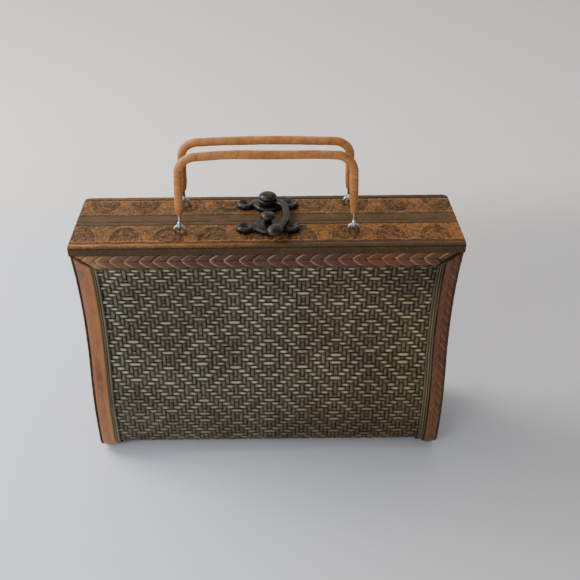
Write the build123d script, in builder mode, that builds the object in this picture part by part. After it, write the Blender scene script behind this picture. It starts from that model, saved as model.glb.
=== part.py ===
from build123d import *
from dataclasses import dataclass
from math import asin, cos, degrees, radians, sin, sqrt
import os

# A small box bag: two trays of wood and woven strips, hinged along the bottom seam and
# closed on top by a swing clasp. Each tray has its own wrapped wire handle.
# Millimetres. X runs along the seam, -Y is the front tray, Z is up, and the bag stands on z = 0.

# Overall sizes
body_width = 200.0          # over the end boards
body_height = 141.0         # floor to the top of the top boards
seam_gap = 0.5              # between the two closed trays

# Outline of a tray seen from its end: depths are measured from the seam
flare_depth = 29.5          # where the face is widest, near the floor
flare_height = 22.0
corner_radius = 14.0        # round bottom corner
waist_depth = 18.8          # where the face is narrowest
waist_drop = 44.0           # waist below the top of the bag
rim_overhang = 0.6          # the rim of the top board past the face under it

# Layers of the face, counted inwards from the outline
strip_thickness = 2.6
weave_thickness = 1.6
braid_thickness = 1.8
inner_strip_thickness = 1.2
glue_gap = 0.05
foot_gap = 3.0              # side strips stop this far from the seam
weave_seam_gap = 2.0        # the weave stops this far from the seam

# Boards
end_thickness = 9.0
lip_thickness = 1.1         # outer skin of an end board, past the edges of the weave and strips
lip_setback = 0.8           # lip below the outline, so the strips stand proud of it
rim_thickness = 5.8
tongue_depth = 4.2          # part of the top board that drops between the end boards
rail_depth = 10.0           # bottom rail, out from the seam
rail_height = 8.0
groove_width = 0.6          # line cut each side of the carved band
groove_depth = 0.4

# Top of a tray, from the seam outwards: plain edge, carved band, rim
front_edge = 3.4
back_edge = 7.4
carved_band = 17.4
rim_width = 4.1
back_corner_radius = 4.0    # worn rear corners of the back tray
seam_corner_radius = 1.2    # worn corners of both top boards at the seam

# Trim on the face
braid_height = 11.0
border_width = 11.8         # from the outside of the end boards to the open weave
strip_inset = 1.2           # strips in from the outside of the end boards
bare_strip_width = 7.9      # left strip of the front tray, its braid lost
braided_strip_width = 6.6
mitre_gap = 0.1

# Handle eyes: staples driven into the top boards
eye_spacing = 88.6
front_eye_depth = 12.0      # from the seam
back_eye_depth = 18.0
staple_wire = 1.4
staple_width = 6.4
staple_height = 4.8
staple_leg = 9.0
staple_bend = 2.4
fit_gap = 0.05              # wire or shank in its hole, on the radius

# Handles
handle_wire = 1.7
loop_clearance = 0.4        # handle loop round the staple, on the radius
handle_height = 37.2        # eye to the middle of the bar, at its ends
handle_top_spacing = 85.4
bar_rise = 1.0              # the bar arches this much at its middle
bar_arch_radius = 300.0
handle_corner = 9.0
wrap_diameter = 4.6
wrap_start = 6.0            # bare wire between the eye and the wrap
wrap_taper = 1.0
back_handle_lean = 15.0     # degrees, towards the front

# Clasp
clasp_x = 0.8               # a little right of the middle of the bag
plate_thickness = 2.4
plate_span = 23.6           # between the two side lobes
lobe_radius = 4.7
plate_radius = 7.6
web_width = 6.0
front_plate_depth = 8.4     # middle of the front plate from the seam
back_plate_depth = 15.4
front_lobe_depth = 9.6
back_lobe_depth = 16.0
pivot_depth = 14.8
post_depth = 6.8
pivot_radius = 2.0
dome_radius = 5.0
dome_height = 2.8
post_radius = 1.9
post_head_radius = 3.9
post_head_height = 2.5
shank_depth = 5.0
pivot_fit = 0.06
arm_lift = 0.4              # arm above the plates, and below the heads
arm_thickness = 2.5
arm_width = 4.2
arm_eye_radius = 4.9
arm_reach = 9.3             # how far the arm swings out to the side of the post
knob_x = 3.4                # from the post, to the side
knob_depth = 19.8
knob_radius = 4.0
knob_length = 10.0
knob_height = 4.8

# Screws
screw_radius = 1.1
screw_head_radius = 2.0
screw_length = 9.0

# Bottom hinges
hinge_spacing = 120.0
hinge_width = 18.0
hinge_axis_drop = 0.2       # below the underside of the weave
knuckle_radius = 1.4
pin_radius = 0.8
pin_fit = 0.06
leaf_thickness = 0.8
leaf_depth = 9.0
leaf_clearance = 0.3
hinge_screw_radius = 0.8
hinge_screw_head = 1.4
hinge_screw_head_height = 0.5
hinge_screw_length = 6.0
hinge_screw_spacing = 11.0
hinge_screw_depth = 5.8     # from the seam

# Worked out from the sizes above
face_thickness = strip_thickness + weave_thickness + 2 * glue_gap
rim_underside = body_height - rim_thickness
hinge_axis_height = strip_thickness - hinge_axis_drop
waist_height = body_height - waist_drop
sway = flare_depth - waist_depth
sway_rise = waist_height - flare_height
sway_radius = (sway_rise**2 + sway**2) / (4 * sway)
sway_angle = degrees(asin(sway_rise / 2 / sway_radius))
top_depth = front_edge + carved_band + rim_width
top_flare = top_depth - rim_overhang - waist_depth
top_rise = rim_underside - waist_height
top_radius = (top_rise**2 + top_flare**2) / (2 * top_flare)
seam_y = (front_edge - back_edge) / 2
half_gap = seam_gap / 2
inside_width = body_width - 2 * end_thickness
eye_height = body_height + staple_height - staple_wire / 2
loop_radius = (staple_wire + handle_wire) / 2 + loop_clearance
arm_base = body_height + plate_thickness + arm_lift
head_base = arm_base + arm_thickness + arm_lift

os.makedirs("parts", exist_ok=True)


@dataclass(frozen=True)
class Tray:
    """One half of the bag. Its sign is the way it faces along Y."""

    name: str
    sign: int
    edge: float
    eye_depth: float
    lean: float

    @property
    def extra(self):
        """How much deeper this tray is than the front one."""
        return self.edge - front_edge

    @property
    def top(self):
        return self.edge + carved_band + rim_width

    def y(self, depth):
        """World Y of a depth measured from the seam."""
        return seam_y + self.sign * depth

    def end_plane(self, x):
        """Plane across the bag at x, with local x as the depth and local y as the height."""
        return Plane(origin=(x, seam_y, 0), x_dir=(0, self.sign, 0), z_dir=(self.sign, 0, 0))


front = Tray("front", -1, front_edge, front_eye_depth, 0.0)
back = Tray("back", 1, back_edge, back_eye_depth, back_handle_lean)


def save(piece, label):
    """Labels a finished piece and writes its file."""
    piece.part.label = label
    export_step(piece.part, f"parts/{label}.step")


def draw_face(tray, grow, start, top):
    """Draws the face outline moved outwards by grow, from depth start underneath up to height top."""
    flare = flare_depth + tray.extra
    base = Line((start, -grow), (flare - corner_radius, -grow))
    corner = JernArc(base @ 1, (1, 0), corner_radius + grow, 90)
    wall = Line(corner @ 1, (flare + grow, flare_height))
    lower = JernArc(wall @ 1, (0, 1), sway_radius + grow, sway_angle)
    upper = JernArc(lower @ 1, lower % 1, sway_radius - grow, -sway_angle)
    crown_angle = degrees(asin((top - waist_height) / (top_radius - grow)))
    crown = JernArc(upper @ 1, (0, 1), top_radius - grow, -crown_angle)
    return base @ 0, crown @ 1


def draw_layer(tray, outer, inner, start):
    """Draws the closed outline of a layer of the face between two growths."""
    outer_start, outer_end = draw_face(tray, outer, start, rim_underside)
    inner_start, inner_end = draw_face(tray, inner, start, rim_underside)
    Line(outer_start, inner_start)
    Line(outer_end, inner_end)


def draw_inside(tray):
    """Draws the closed outline of a board that carries the face."""
    bottom, end = draw_face(tray, -face_thickness, half_gap, rim_underside)
    top = Line(end, (half_gap, rim_underside))
    Line(top @ 1, bottom)


def eye_places(tray):
    """Middle of each handle eye, at the top of the board."""
    return [(side * eye_spacing / 2, tray.y(tray.eye_depth), body_height) for side in (-1, 1)]


def staple_leg_places(tray):
    """Middle of each staple leg, at the top of the board."""
    reach = (staple_width - staple_wire) / 2
    return [(x + side * reach, y, z) for x, y, z in eye_places(tray) for side in (-1, 1)]


def clasp_screw_places(tray):
    """Middle of each screw of the tray's clasp plate, at the top of the board."""
    depth = front_lobe_depth if tray is front else back_lobe_depth
    return [(clasp_x + side * plate_span / 2, tray.y(depth), body_height) for side in (-1, 1)]


def clasp_shank_place(tray):
    """Middle of the post or pivot, at the top of the board."""
    depth = post_depth if tray is front else pivot_depth
    return (clasp_x, tray.y(depth), body_height)


def clasp_shank_radius(tray):
    return post_radius if tray is front else pivot_radius


def hinge_places():
    """X of the middle of each hinge."""
    return (-hinge_spacing / 2, hinge_spacing / 2)


def hinge_screw_places(tray):
    """Middle of each hinge screw on the underside of the weave."""
    reach = hinge_screw_spacing / 2
    y = tray.y(hinge_screw_depth)
    return [(x + side * reach, y, strip_thickness) for x in hinge_places() for side in (-1, 1)]


def braid_outline(gap):
    """Corners of the top braid seen from the front, grown by gap, with mitred ends."""
    top = rim_underside + 1
    slope = border_width / braid_height
    low = rim_underside - braid_height - gap
    low_x = body_width / 2 - border_width + gap
    high_x = low_x + slope * (top - low)
    return [(-low_x, low), (low_x, low), (high_x, top), (-high_x, top)]


def build_top_board(tray):
    """The rim and tongue in one board, drilled for the eyes and the clasp."""
    with BuildPart() as board:
        with BuildSketch(Plane.XY.offset(rim_underside)):
            with Locations((0, tray.y((tray.top + half_gap) / 2))):
                Rectangle(body_width, tray.top - half_gap)
        extrude(amount=rim_thickness)
        corners = board.edges().filter_by(Axis.Z).group_by(Axis.Y)
        seam_corners = corners[0] if tray is back else corners[-1]
        fillet(seam_corners, seam_corner_radius)
        if tray is back:
            fillet(board.edges().filter_by(Axis.Z).group_by(Axis.Y)[-1], back_corner_radius)
        with BuildPart(mode=Mode.PRIVATE) as tongue:
            with BuildSketch(tray.end_plane(0)):
                with BuildLine():
                    draw_inside(tray)
                make_face()
            extrude(amount=inside_width / 2, both=True)
            split(bisect_by=Plane.XY.offset(rim_underside - tongue_depth), keep=Keep.TOP)
        add(tongue.part)
        with BuildSketch(Plane.XY.offset(body_height)):
            for depth in (tray.edge, tray.edge + carved_band):
                with Locations((0, tray.y(depth))):
                    Rectangle(body_width, groove_width)
        extrude(amount=-groove_depth, mode=Mode.SUBTRACT)
        with Locations(*staple_leg_places(tray)):
            Hole(staple_wire / 2 + fit_gap, staple_leg + fit_gap)
        with Locations(*clasp_screw_places(tray)):
            Hole(screw_radius + fit_gap, screw_length - plate_thickness + fit_gap)
        with Locations(clasp_shank_place(tray)):
            Hole(clasp_shank_radius(tray) + fit_gap, shank_depth + fit_gap)
    return board


def build_end_board(tray, side):
    """An end board with the outline of the tray, under the rim, and a lip round its outside."""
    with BuildPart() as board:
        with BuildSketch(tray.end_plane(side * (body_width - end_thickness) / 2)):
            with BuildLine():
                draw_inside(tray)
            make_face()
        extrude(amount=end_thickness / 2, both=True)
        with BuildSketch(tray.end_plane(side * (body_width - lip_thickness) / 2)):
            with BuildLine():
                draw_layer(tray, -lip_setback, -face_thickness, foot_gap)
            make_face()
        extrude(amount=lip_thickness / 2, both=True)
    return board


def build_bottom_rail(tray):
    """The rail along the seam, between the end boards, drilled for the hinge screws."""
    with BuildPart() as rail:
        with BuildSketch(Plane.XY.offset(face_thickness)):
            with Locations((0, tray.y(half_gap + rail_depth / 2))):
                Rectangle(inside_width, rail_depth)
        extrude(amount=rail_height)
        with BuildSketch(Plane.XY.offset(face_thickness)):
            with Locations(*[(x, y) for x, y, z in hinge_screw_places(tray)]):
                Circle(hinge_screw_radius + fit_gap)
        extrude(amount=hinge_screw_length - weave_thickness, mode=Mode.SUBTRACT)
    return rail


def build_woven_panel(tray):
    """The woven skin: down the face, round the bottom corner and back to the seam."""
    outer = -strip_thickness - glue_gap
    with BuildPart() as panel:
        with BuildSketch(tray.end_plane(0)):
            with BuildLine():
                draw_layer(tray, outer, outer - weave_thickness, weave_seam_gap)
            make_face()
        extrude(amount=body_width / 2 - strip_inset, both=True)
        with BuildSketch(Plane.XY):
            with Locations(*[(x, y) for x, y, z in hinge_screw_places(tray)]):
                Circle(hinge_screw_radius + fit_gap)
        extrude(amount=face_thickness, mode=Mode.SUBTRACT)
    return panel


def build_top_braid(tray):
    """The braid across the top of the face, with mitred ends."""
    inner = -strip_thickness
    with BuildPart() as braid:
        with BuildSketch(tray.end_plane(0)):
            with BuildLine():
                draw_layer(tray, inner + braid_thickness, inner, foot_gap)
            make_face()
        extrude(amount=body_width / 2 - strip_inset, both=True)
        with BuildSketch(Plane.XZ):
            with BuildLine():
                Polyline(*braid_outline(0), close=True)
            make_face()
        extrude(amount=body_height, both=True, mode=Mode.INTERSECT)
    return braid


def build_strip(tray, inset, width, thickness, side):
    """A strip down the side of the face and under it. Inset is from the outside of the end board."""
    inner = -strip_thickness
    with BuildPart() as strip:
        with BuildSketch(tray.end_plane(side * (body_width / 2 - inset - width / 2))):
            with BuildLine():
                draw_layer(tray, inner + thickness, inner, foot_gap)
            make_face()
        extrude(amount=width / 2, both=True)
        with BuildSketch(Plane.XZ):
            with BuildLine():
                Polyline(*braid_outline(mitre_gap), close=True)
            make_face()
        extrude(amount=body_height, both=True, mode=Mode.SUBTRACT)
    return strip


def build_eye(tray, side):
    """A wire staple, its crown standing proud of the board."""
    x, y, z = eye_places(tray)[0 if side < 0 else 1]
    reach = (staple_width - staple_wire) / 2
    crown = staple_height - staple_wire / 2
    with BuildPart() as staple:
        with BuildLine(Plane(origin=(x, y, z), x_dir=(1, 0, 0), z_dir=(0, -1, 0))) as wire:
            corners = [(-reach, -staple_leg), (-reach, crown), (reach, crown), (reach, -staple_leg)]
            FilletPolyline(*corners, radius=staple_bend)
        with BuildSketch(Plane(origin=wire.line @ 0, z_dir=wire.line % 0)):
            Circle(staple_wire / 2)
        sweep()
    return staple


def clasp_plate_depths(tray):
    """Depths of the middle and of the side lobes of the tray's clasp plate."""
    if tray is front:
        return front_plate_depth, front_lobe_depth
    return back_plate_depth, back_lobe_depth


def build_clasp_plate(tray):
    """A flat plate with a round middle and two screwed lobes."""
    middle, lobe = clasp_plate_depths(tray)
    with BuildPart() as plate:
        with BuildSketch(Plane.XY.offset(body_height)):
            with Locations((clasp_x, tray.y(middle))):
                Circle(plate_radius)
            with Locations((clasp_x, tray.y(lobe))):
                Rectangle(plate_span, web_width)
            with Locations(*[(x, y) for x, y, z in clasp_screw_places(tray)]):
                Circle(lobe_radius)
        extrude(amount=plate_thickness)
        rim = plate.faces().sort_by(Axis.Z)[-1].edges()
        chamfer(rim, plate_thickness / 4)
        with Locations(*[(x, y, z + plate_thickness) for x, y, z in clasp_screw_places(tray)]):
            CounterSinkHole(screw_radius + fit_gap, screw_head_radius + fit_gap, plate_thickness, 90)
        x, y, z = clasp_shank_place(tray)
        with Locations((x, y, z + plate_thickness)):
            Hole(clasp_shank_radius(tray) + fit_gap, plate_thickness)
    return plate


def build_clasp_screws(tray):
    """The two countersunk screws of a clasp plate, flush with it."""
    head = body_height + plate_thickness
    with BuildPart() as screws:
        with BuildSketch(Plane.XY.offset(head)):
            with Locations(*[(x, y) for x, y, z in clasp_screw_places(tray)]):
                Circle(screw_head_radius)
        extrude(amount=screw_radius - screw_head_radius, taper=45)
        with BuildSketch(Plane.XY.offset(head)):
            with Locations(*[(x, y) for x, y, z in clasp_screw_places(tray)]):
                Circle(screw_radius)
        extrude(amount=-screw_length)
    return screws


def build_headed_pin(tray, head_radius, head_height):
    """A domed head on a shank that goes down through the clasp plate into the board."""
    x, y, z = clasp_shank_place(tray)
    dome_rise = head_height * 2 / 3
    dome_sphere = (head_radius**2 + dome_rise**2) / (2 * dome_rise)
    with BuildPart() as pin:
        with BuildSketch(Plane.XY.offset(head_base)):
            with Locations((x, y)):
                Circle(head_radius)
        extrude(amount=head_height)
        with Locations((x, y, head_base + head_height - dome_sphere)):
            Sphere(dome_sphere, mode=Mode.INTERSECT)
        with BuildSketch(Plane.XY.offset(z - shank_depth)):
            with Locations((x, y)):
                Circle(clasp_shank_radius(tray))
        extrude(amount=head_base - z + shank_depth)
    return pin


def build_clasp_arm():
    """The swing arm: an eye on the pivot, a hook round the post and a finger knob."""
    pivot_y = back.y(pivot_depth)
    post_y = front.y(post_depth)
    knob_y = front.y(knob_depth)
    with BuildPart() as arm:
        with BuildSketch(Plane.XY.offset(arm_base)):
            with BuildLine():
                Spline(
                    (clasp_x, pivot_y),
                    (clasp_x + arm_reach * 0.75, pivot_y - (pivot_y - post_y) * 0.3),
                    (clasp_x + arm_reach, post_y + (pivot_y - post_y) * 0.25),
                    (clasp_x + arm_reach * 0.85, post_y - (post_y - knob_y) * 0.35),
                    (clasp_x + knob_x, knob_y),
                    tangents=((1, -0.2), (-0.5, -1)),
                )
            trace(line_width=arm_width)
            with Locations((clasp_x, pivot_y)):
                Circle(arm_eye_radius)
            with Locations((clasp_x + knob_x, knob_y)):
                SlotOverall(knob_length, 2 * knob_radius, rotation=75)
            with Locations((clasp_x, pivot_y)):
                Circle(pivot_radius + pivot_fit, mode=Mode.SUBTRACT)
        extrude(amount=arm_thickness)
        with BuildSketch(Plane.XY.offset(arm_base)):
            with Locations((clasp_x + knob_x, knob_y)):
                SlotOverall(knob_length, 2 * knob_radius, rotation=75)
        extrude(amount=knob_height)
        top = arm.faces().sort_by(Axis.Z)[-1].edges()
        fillet(top, knob_height / 3)
    return arm


def hinge_plane(x):
    """Plane across a hinge at x, its origin on the hinge axis."""
    return Plane(origin=(x, seam_y, hinge_axis_height), x_dir=(0, 1, 0), z_dir=(1, 0, 0))


def knuckle_spans(tray):
    """X spans of the tray's knuckles from the middle of a hinge: two outer ones at the back."""
    third = hinge_width / 3
    if tray is front:
        return [(-third / 2, third / 2)]
    inner = third / 2 + leaf_clearance
    return [(-hinge_width / 2, -inner), (inner, hinge_width / 2)]


def build_hinge_leaves(tray):
    """The tray's leaf of each hinge, with its knuckles."""
    leaf_top = strip_thickness - hinge_axis_height
    leaf_start = knuckle_radius + leaf_clearance
    with BuildPart() as leaves:
        for x in hinge_places():
            with BuildSketch(hinge_plane(x)):
                with Locations((tray.sign * (leaf_start + leaf_depth) / 2, leaf_top - leaf_thickness / 2)):
                    Rectangle(leaf_depth - leaf_start, leaf_thickness)
            extrude(amount=hinge_width / 2, both=True)
            for low, high in knuckle_spans(tray):
                with BuildSketch(hinge_plane(x + low)):
                    Circle(knuckle_radius)
                    with Locations((tray.sign * leaf_start / 2, leaf_top - leaf_thickness / 2)):
                        Rectangle(leaf_start, leaf_thickness)
                    Circle(pin_radius + pin_fit, mode=Mode.SUBTRACT)
                extrude(amount=high - low)
        with BuildSketch(Plane.XY):
            with Locations(*[(x, y) for x, y, z in hinge_screw_places(tray)]):
                Circle(hinge_screw_radius + fit_gap)
        extrude(amount=strip_thickness, mode=Mode.SUBTRACT)
    return leaves


def build_hinge_screws(tray):
    """The screws up through the tray's leaves, the weave and into the rail."""
    head = strip_thickness - leaf_thickness
    with BuildPart() as screws:
        with BuildSketch(Plane.XY.offset(head)):
            with Locations(*[(x, y) for x, y, z in hinge_screw_places(tray)]):
                Circle(hinge_screw_head)
        extrude(amount=-hinge_screw_head_height, taper=25)
        with BuildSketch(Plane.XY.offset(head)):
            with Locations(*[(x, y) for x, y, z in hinge_screw_places(tray)]):
                Circle(hinge_screw_radius)
        extrude(amount=hinge_screw_length)
    return screws


def build_hinge_pins():
    """The pin of each hinge."""
    with BuildPart() as pins:
        for x in hinge_places():
            with BuildSketch(hinge_plane(x)):
                Circle(pin_radius)
            extrude(amount=hinge_width / 2, both=True)
    return pins


def handle_plane(tray):
    """Plane of a handle: local x along the bag, local y up the legs from the eyes."""
    lean = radians(tray.lean)
    origin = (0, tray.y(tray.eye_depth), eye_height)
    return Plane(origin=origin, x_dir=(1, 0, 0), z_dir=(0, -cos(lean), -sin(lean)))


def draw_handle(start):
    """The line of a handle, from a height start on one leg over to the same on the other."""
    foot = eye_spacing / 2
    shoulder = handle_top_spacing / 2
    x = foot + (shoulder - foot) * start / handle_height
    FilletPolyline(
        (-x, start),
        (-shoulder, handle_height),
        (0, handle_height + bar_rise),
        (shoulder, handle_height),
        (x, start),
        radius=(handle_corner, bar_arch_radius, handle_corner),
    )


def build_handle_wire(tray):
    """The wire inside a handle, ending in a closed loop round each staple."""
    plane = handle_plane(tray)
    with BuildPart() as wire:
        with BuildLine(plane) as path:
            draw_handle(loop_radius)
        with BuildSketch(Plane(origin=path.line @ 0, z_dir=path.line % 0)):
            Circle(handle_wire / 2)
        sweep()
        for x, y, z in eye_places(tray):
            with Locations((x, y, eye_height)):
                Torus(loop_radius, handle_wire / 2, rotation=(0, 90, 0))
    return wire


def build_handle_wrap(tray):
    """The wrapping over the wire, thinner at its two ends."""
    plane = handle_plane(tray)
    with BuildPart() as wrap:
        with BuildLine(plane) as path:
            draw_handle(wrap_start)
        with BuildSketch(Plane(origin=path.line @ 0, z_dir=path.line % 0)):
            Circle(wrap_diameter / 2)
            Circle(handle_wire / 2 + fit_gap, mode=Mode.SUBTRACT)
        sweep()
        ends = wrap.faces().filter_by(GeomType.PLANE)
        rims = [end.edges().sort_by(SortBy.LENGTH)[-1] for end in ends]
        chamfer(rims, wrap_taper)
    return wrap


for tray in (front, back):
    save(build_top_board(tray), f"{tray.name}_top_board")
    save(build_bottom_rail(tray), f"{tray.name}_bottom_rail")
    save(build_woven_panel(tray), f"{tray.name}_woven_panel")
    save(build_top_braid(tray), f"{tray.name}_top_braid")
    for side, label in ((-1, "left"), (1, "right")):
        bare = tray is front and side < 0
        width = bare_strip_width if bare else braided_strip_width
        inner_width = border_width - strip_inset - width
        save(build_end_board(tray, side), f"{tray.name}_{label}_end_board")
        strip = build_strip(tray, strip_inset, width, strip_thickness, side)
        save(strip, f"{tray.name}_{label}_strip")
        inner = build_strip(tray, strip_inset + width, inner_width, inner_strip_thickness, side)
        save(inner, f"{tray.name}_{label}_inner_strip")
        save(build_eye(tray, side), f"{tray.name}_{label}_eye")
    save(build_clasp_plate(tray), f"{tray.name}_clasp_plate")
    save(build_clasp_screws(tray), f"{tray.name}_clasp_screws")
    save(build_hinge_leaves(tray), f"{tray.name}_hinge_leaves")
    save(build_hinge_screws(tray), f"{tray.name}_hinge_screws")
    save(build_handle_wire(tray), f"{tray.name}_handle_wire")
    save(build_handle_wrap(tray), f"{tray.name}_handle_wrap")

save(build_hinge_pins(), "hinge_pins")
save(build_headed_pin(back, dome_radius, dome_height), "clasp_pivot")
save(build_headed_pin(front, post_head_radius, post_head_height), "clasp_post")
save(build_clasp_arm(), "clasp_arm")
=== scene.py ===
"""A small box bag: two hinged trays of woven cane with carved rims, plaited trims and wrapped handles."""

import logging
import math
from collections.abc import Callable, Sequence
from dataclasses import dataclass, field
from enum import Enum

import bmesh
import bpy
import numpy as np
from mathutils import Matrix, Vector


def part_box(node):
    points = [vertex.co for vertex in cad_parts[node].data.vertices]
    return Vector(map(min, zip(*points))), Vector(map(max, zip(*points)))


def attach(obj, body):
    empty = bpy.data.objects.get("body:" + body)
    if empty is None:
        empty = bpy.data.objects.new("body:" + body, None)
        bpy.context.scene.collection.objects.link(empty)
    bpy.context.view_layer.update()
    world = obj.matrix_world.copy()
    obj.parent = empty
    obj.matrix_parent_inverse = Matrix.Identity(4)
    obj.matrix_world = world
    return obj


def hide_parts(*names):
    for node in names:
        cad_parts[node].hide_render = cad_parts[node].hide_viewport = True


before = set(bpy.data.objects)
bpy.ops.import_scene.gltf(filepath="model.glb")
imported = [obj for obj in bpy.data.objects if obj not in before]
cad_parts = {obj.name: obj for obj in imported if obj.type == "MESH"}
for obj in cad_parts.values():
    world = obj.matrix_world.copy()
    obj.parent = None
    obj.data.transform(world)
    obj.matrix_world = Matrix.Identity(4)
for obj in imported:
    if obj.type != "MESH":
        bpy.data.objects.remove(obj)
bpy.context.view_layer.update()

MM = 0.001
MM_PER_M = 1000
TAU = 2 * math.pi
log = logging.getLogger("box_bag")

BMesh = bmesh.types.BMesh
Material = bpy.types.Material
Mesh = bpy.types.Mesh
Socket = bpy.types.NodeSocket
Colour = tuple[float, float, float, float]
Stop = tuple[float, Colour]
Value = Socket | float
Paint = Socket | Colour


# ---------------------------------------------------------------- choices


class Lie(Enum):
    """The way that a strand or a grain runs, as the stretch of its pattern."""

    ALONG = (0.12, 1.0, 1.0)
    UP = (1.0, 1.0, 0.12)


class Axis(Enum):
    """A direction of the bag."""

    ACROSS = "X"
    DEPTH = "Y"
    HEIGHT = "Z"


class Side(Enum):
    """An end of the bag."""

    LEFT = "left"
    RIGHT = "right"


class Mark(Enum):
    """A number at each vertex of a mesh, which its finish reads."""

    CARVE = "carve"
    # CREST marks where a painted highlight lies on the strands.
    CREST = "crest"
    EDGE = "edge"
    RIMMED = "rimmed"
    # RISE marks where painted shade darkens strands and leaves, low in their hollows and undersides.
    RISE = "rise"
    SEAM = "seam"
    SMOOTH = "smooth"
    TONE = "tone"
    WORN = "worn"


class Blend(Enum):
    """The way that one colour is laid over another."""

    PLAIN = "MIX"
    GLAZE = "MULTIPLY"
    GRAIN = "SOFT_LIGHT"


class Sum(Enum):
    """The way that two values are combined."""

    ADD = "ADD"
    SUBTRACT = "SUBTRACT"
    MULTIPLY = "MULTIPLY"
    DIVIDE = "DIVIDE"


# ---------------------------------------------------------------- finishes


def tint(red: float, green: float, blue: float) -> Colour:
    """The linear colour of a screen colour, by the usual screen curve.

    Args:
        red: red part, 0 to 255.
        green: green part, 0 to 255.
        blue: blue part, 0 to 255.

    Returns:
        Linear red, green, blue and an alpha of 1.
    """
    parts = []
    for value in (red, green, blue):
        part = value / 255
        parts.append(part / 12.92 if part <= 0.04045 else ((part + 0.055) / 1.055) ** 2.4)
    return (parts[0], parts[1], parts[2], 1.0)


class Recipe:
    """A material that is being mixed, one node at a time."""

    def __init__(self, name: str) -> None:
        """Starts a material with an empty shader.

        Args:
            name: name of the material.
        """
        self.material = bpy.data.materials.new(name)
        self.material.use_nodes = True
        self.tree = self.material.node_tree
        self.shader = self.tree.nodes["Principled BSDF"]

    def feed(self, socket: Socket, value: Value | Sequence[float]) -> None:
        """Links a socket to another one, or sets its number.

        Args:
            socket: the input to feed.
            value: an output socket, a number or a tuple.
        """
        if isinstance(value, Socket):
            self.tree.links.new(value, socket)
        else:
            socket.default_value = value

    def node(self, kind: str, inputs: dict, out: int | str = 0, **settings: str) -> Socket:
        """Adds a node and feeds it.

        Args:
            kind: Blender's name of the node's type.
            inputs: input name or number to value.
            out: the output that is wanted.
            settings: properties of the node.

        Returns:
            The wanted output socket.
        """
        made = self.tree.nodes.new(kind)
        for key, value in settings.items():
            setattr(made, key, value)
        for key, value in inputs.items():
            self.feed(made.inputs[key], value)
        return made.outputs[out]

    def place(self, stretch: Sequence[float] = (1, 1, 1), turn: Sequence[float] = (0, 0, 0)) -> Socket:
        """Object coordinates in millimetres, stretched and turned.

        Args:
            stretch: factor along each axis.
            turn: turn about each axis, in radians.

        Returns:
            The vector socket.
        """
        spot = self.node("ShaderNodeTexCoord", {}, "Object")
        scale = tuple(MM_PER_M * part for part in stretch)
        return self.node("ShaderNodeMapping", {"Vector": spot, "Scale": scale, "Rotation": tuple(turn)})

    def noise(
        self, where: Socket, scale: float, detail: float = 3, rough: float = 0.55, bend: float = 0.0
    ) -> Socket:
        """Cloudy noise from 0 to 1.

        Args:
            where: vector socket.
            scale: size of the pattern, in cycles a millimetre.
            detail: octaves.
            rough: strength of the fine octaves.
            bend: distortion.

        Returns:
            The value socket.
        """
        inputs = {"Vector": where, "Scale": scale, "Detail": detail, "Roughness": rough, "Distortion": bend}
        return self.node("ShaderNodeTexNoise", inputs)

    def ramp(self, value: Socket, stops: Sequence[Stop]) -> Socket:
        """A colour ramp.

        Args:
            value: value socket.
            stops: places from 0 to 1, each with its colour.

        Returns:
            The colour socket.
        """
        made = self.tree.nodes.new("ShaderNodeValToRGB")
        self.feed(made.inputs[0], value)
        bar = made.color_ramp.elements
        while len(bar) < len(stops):
            bar.new(0.5)
        for element, (spot, shade) in zip(bar, stops):
            element.position = spot
            element.color = shade
        return made.outputs[0]

    def grade(self, value: Socket, low: float, high: float) -> Socket:
        """A value spread from 0 at low to 1 at high."""
        inputs = {0: value, 1: low, 2: high, 3: 0.0, 4: 1.0}
        return self.node("ShaderNodeMapRange", inputs, interpolation_type="SMOOTHSTEP")

    def mark(self, mark: Mark) -> Socket:
        """The number that a mesh carries under a mark's name."""
        return self.node("ShaderNodeAttribute", {}, "Fac", attribute_name=mark.value)

    def axis(self, axis: Axis) -> Socket:
        """One object coordinate, in metres."""
        spot = self.node("ShaderNodeTexCoord", {}, "Object")
        return self.node("ShaderNodeSeparateXYZ", {0: spot}, axis.value)

    def calc(self, way: Sum, first: Value, second: Value) -> Socket:
        """A sum, product or other result of two values."""
        return self.node("ShaderNodeMath", {0: first, 1: second}, operation=way.value)

    def plus(self, first: Value, second: Value) -> Socket:
        """The sum of two values."""
        return self.calc(Sum.ADD, first, second)

    def times(self, first: Value, second: Value) -> Socket:
        """The product of two values."""
        return self.calc(Sum.MULTIPLY, first, second)

    def scaled(self, value: Value, gain: float, base: float) -> Socket:
        """A value times a gain, on top of a base."""
        return self.plus(self.times(value, gain), base)

    def mix(self, share: Value, first: Paint, second: Paint, way: Blend = Blend.PLAIN) -> Socket:
        """Mixes two colours.

        Args:
            share: share of the second one.
            first: the colour underneath.
            second: the colour on top.
            way: how it is laid on.

        Returns:
            The colour socket.
        """
        inputs = {0: share, 6: first, 7: second}
        return self.node("ShaderNodeMix", inputs, 2, data_type="RGBA", blend_type=way.value)

    def lay(self, shade: Paint, colour: Paint, mask: Value, strength: Value) -> Socket:
        """Lays a colour over another one, as far as a mask and a strength let it."""
        return self.mix(self.times(mask, strength), shade, colour)

    def grained(self, shade: Paint, share: float, fibre: Socket, dark: Stop, light: Stop) -> Socket:
        """Darkens and lightens a colour along its fibre.

        Args:
            shade: the colour.
            share: how much of the fibre shows.
            fibre: noise that runs the way of the fibre.
            dark: where the fibre is darkest, and its colour there.
            light: where it is lightest, and its colour there.

        Returns:
            The colour socket.
        """
        return self.mix(share, shade, self.ramp(fibre, [dark, light]), Blend.GRAIN)

    def bump(self, height: Socket, depth: float, strength: float) -> Socket:
        """A bump of a given real depth.

        Args:
            height: value socket, 0 to 1.
            depth: real depth in millimetres.
            strength: how much of it shows.

        Returns:
            The normal socket.
        """
        return self.node("ShaderNodeBump", {"Height": height, "Distance": depth * MM, "Strength": strength})

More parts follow.
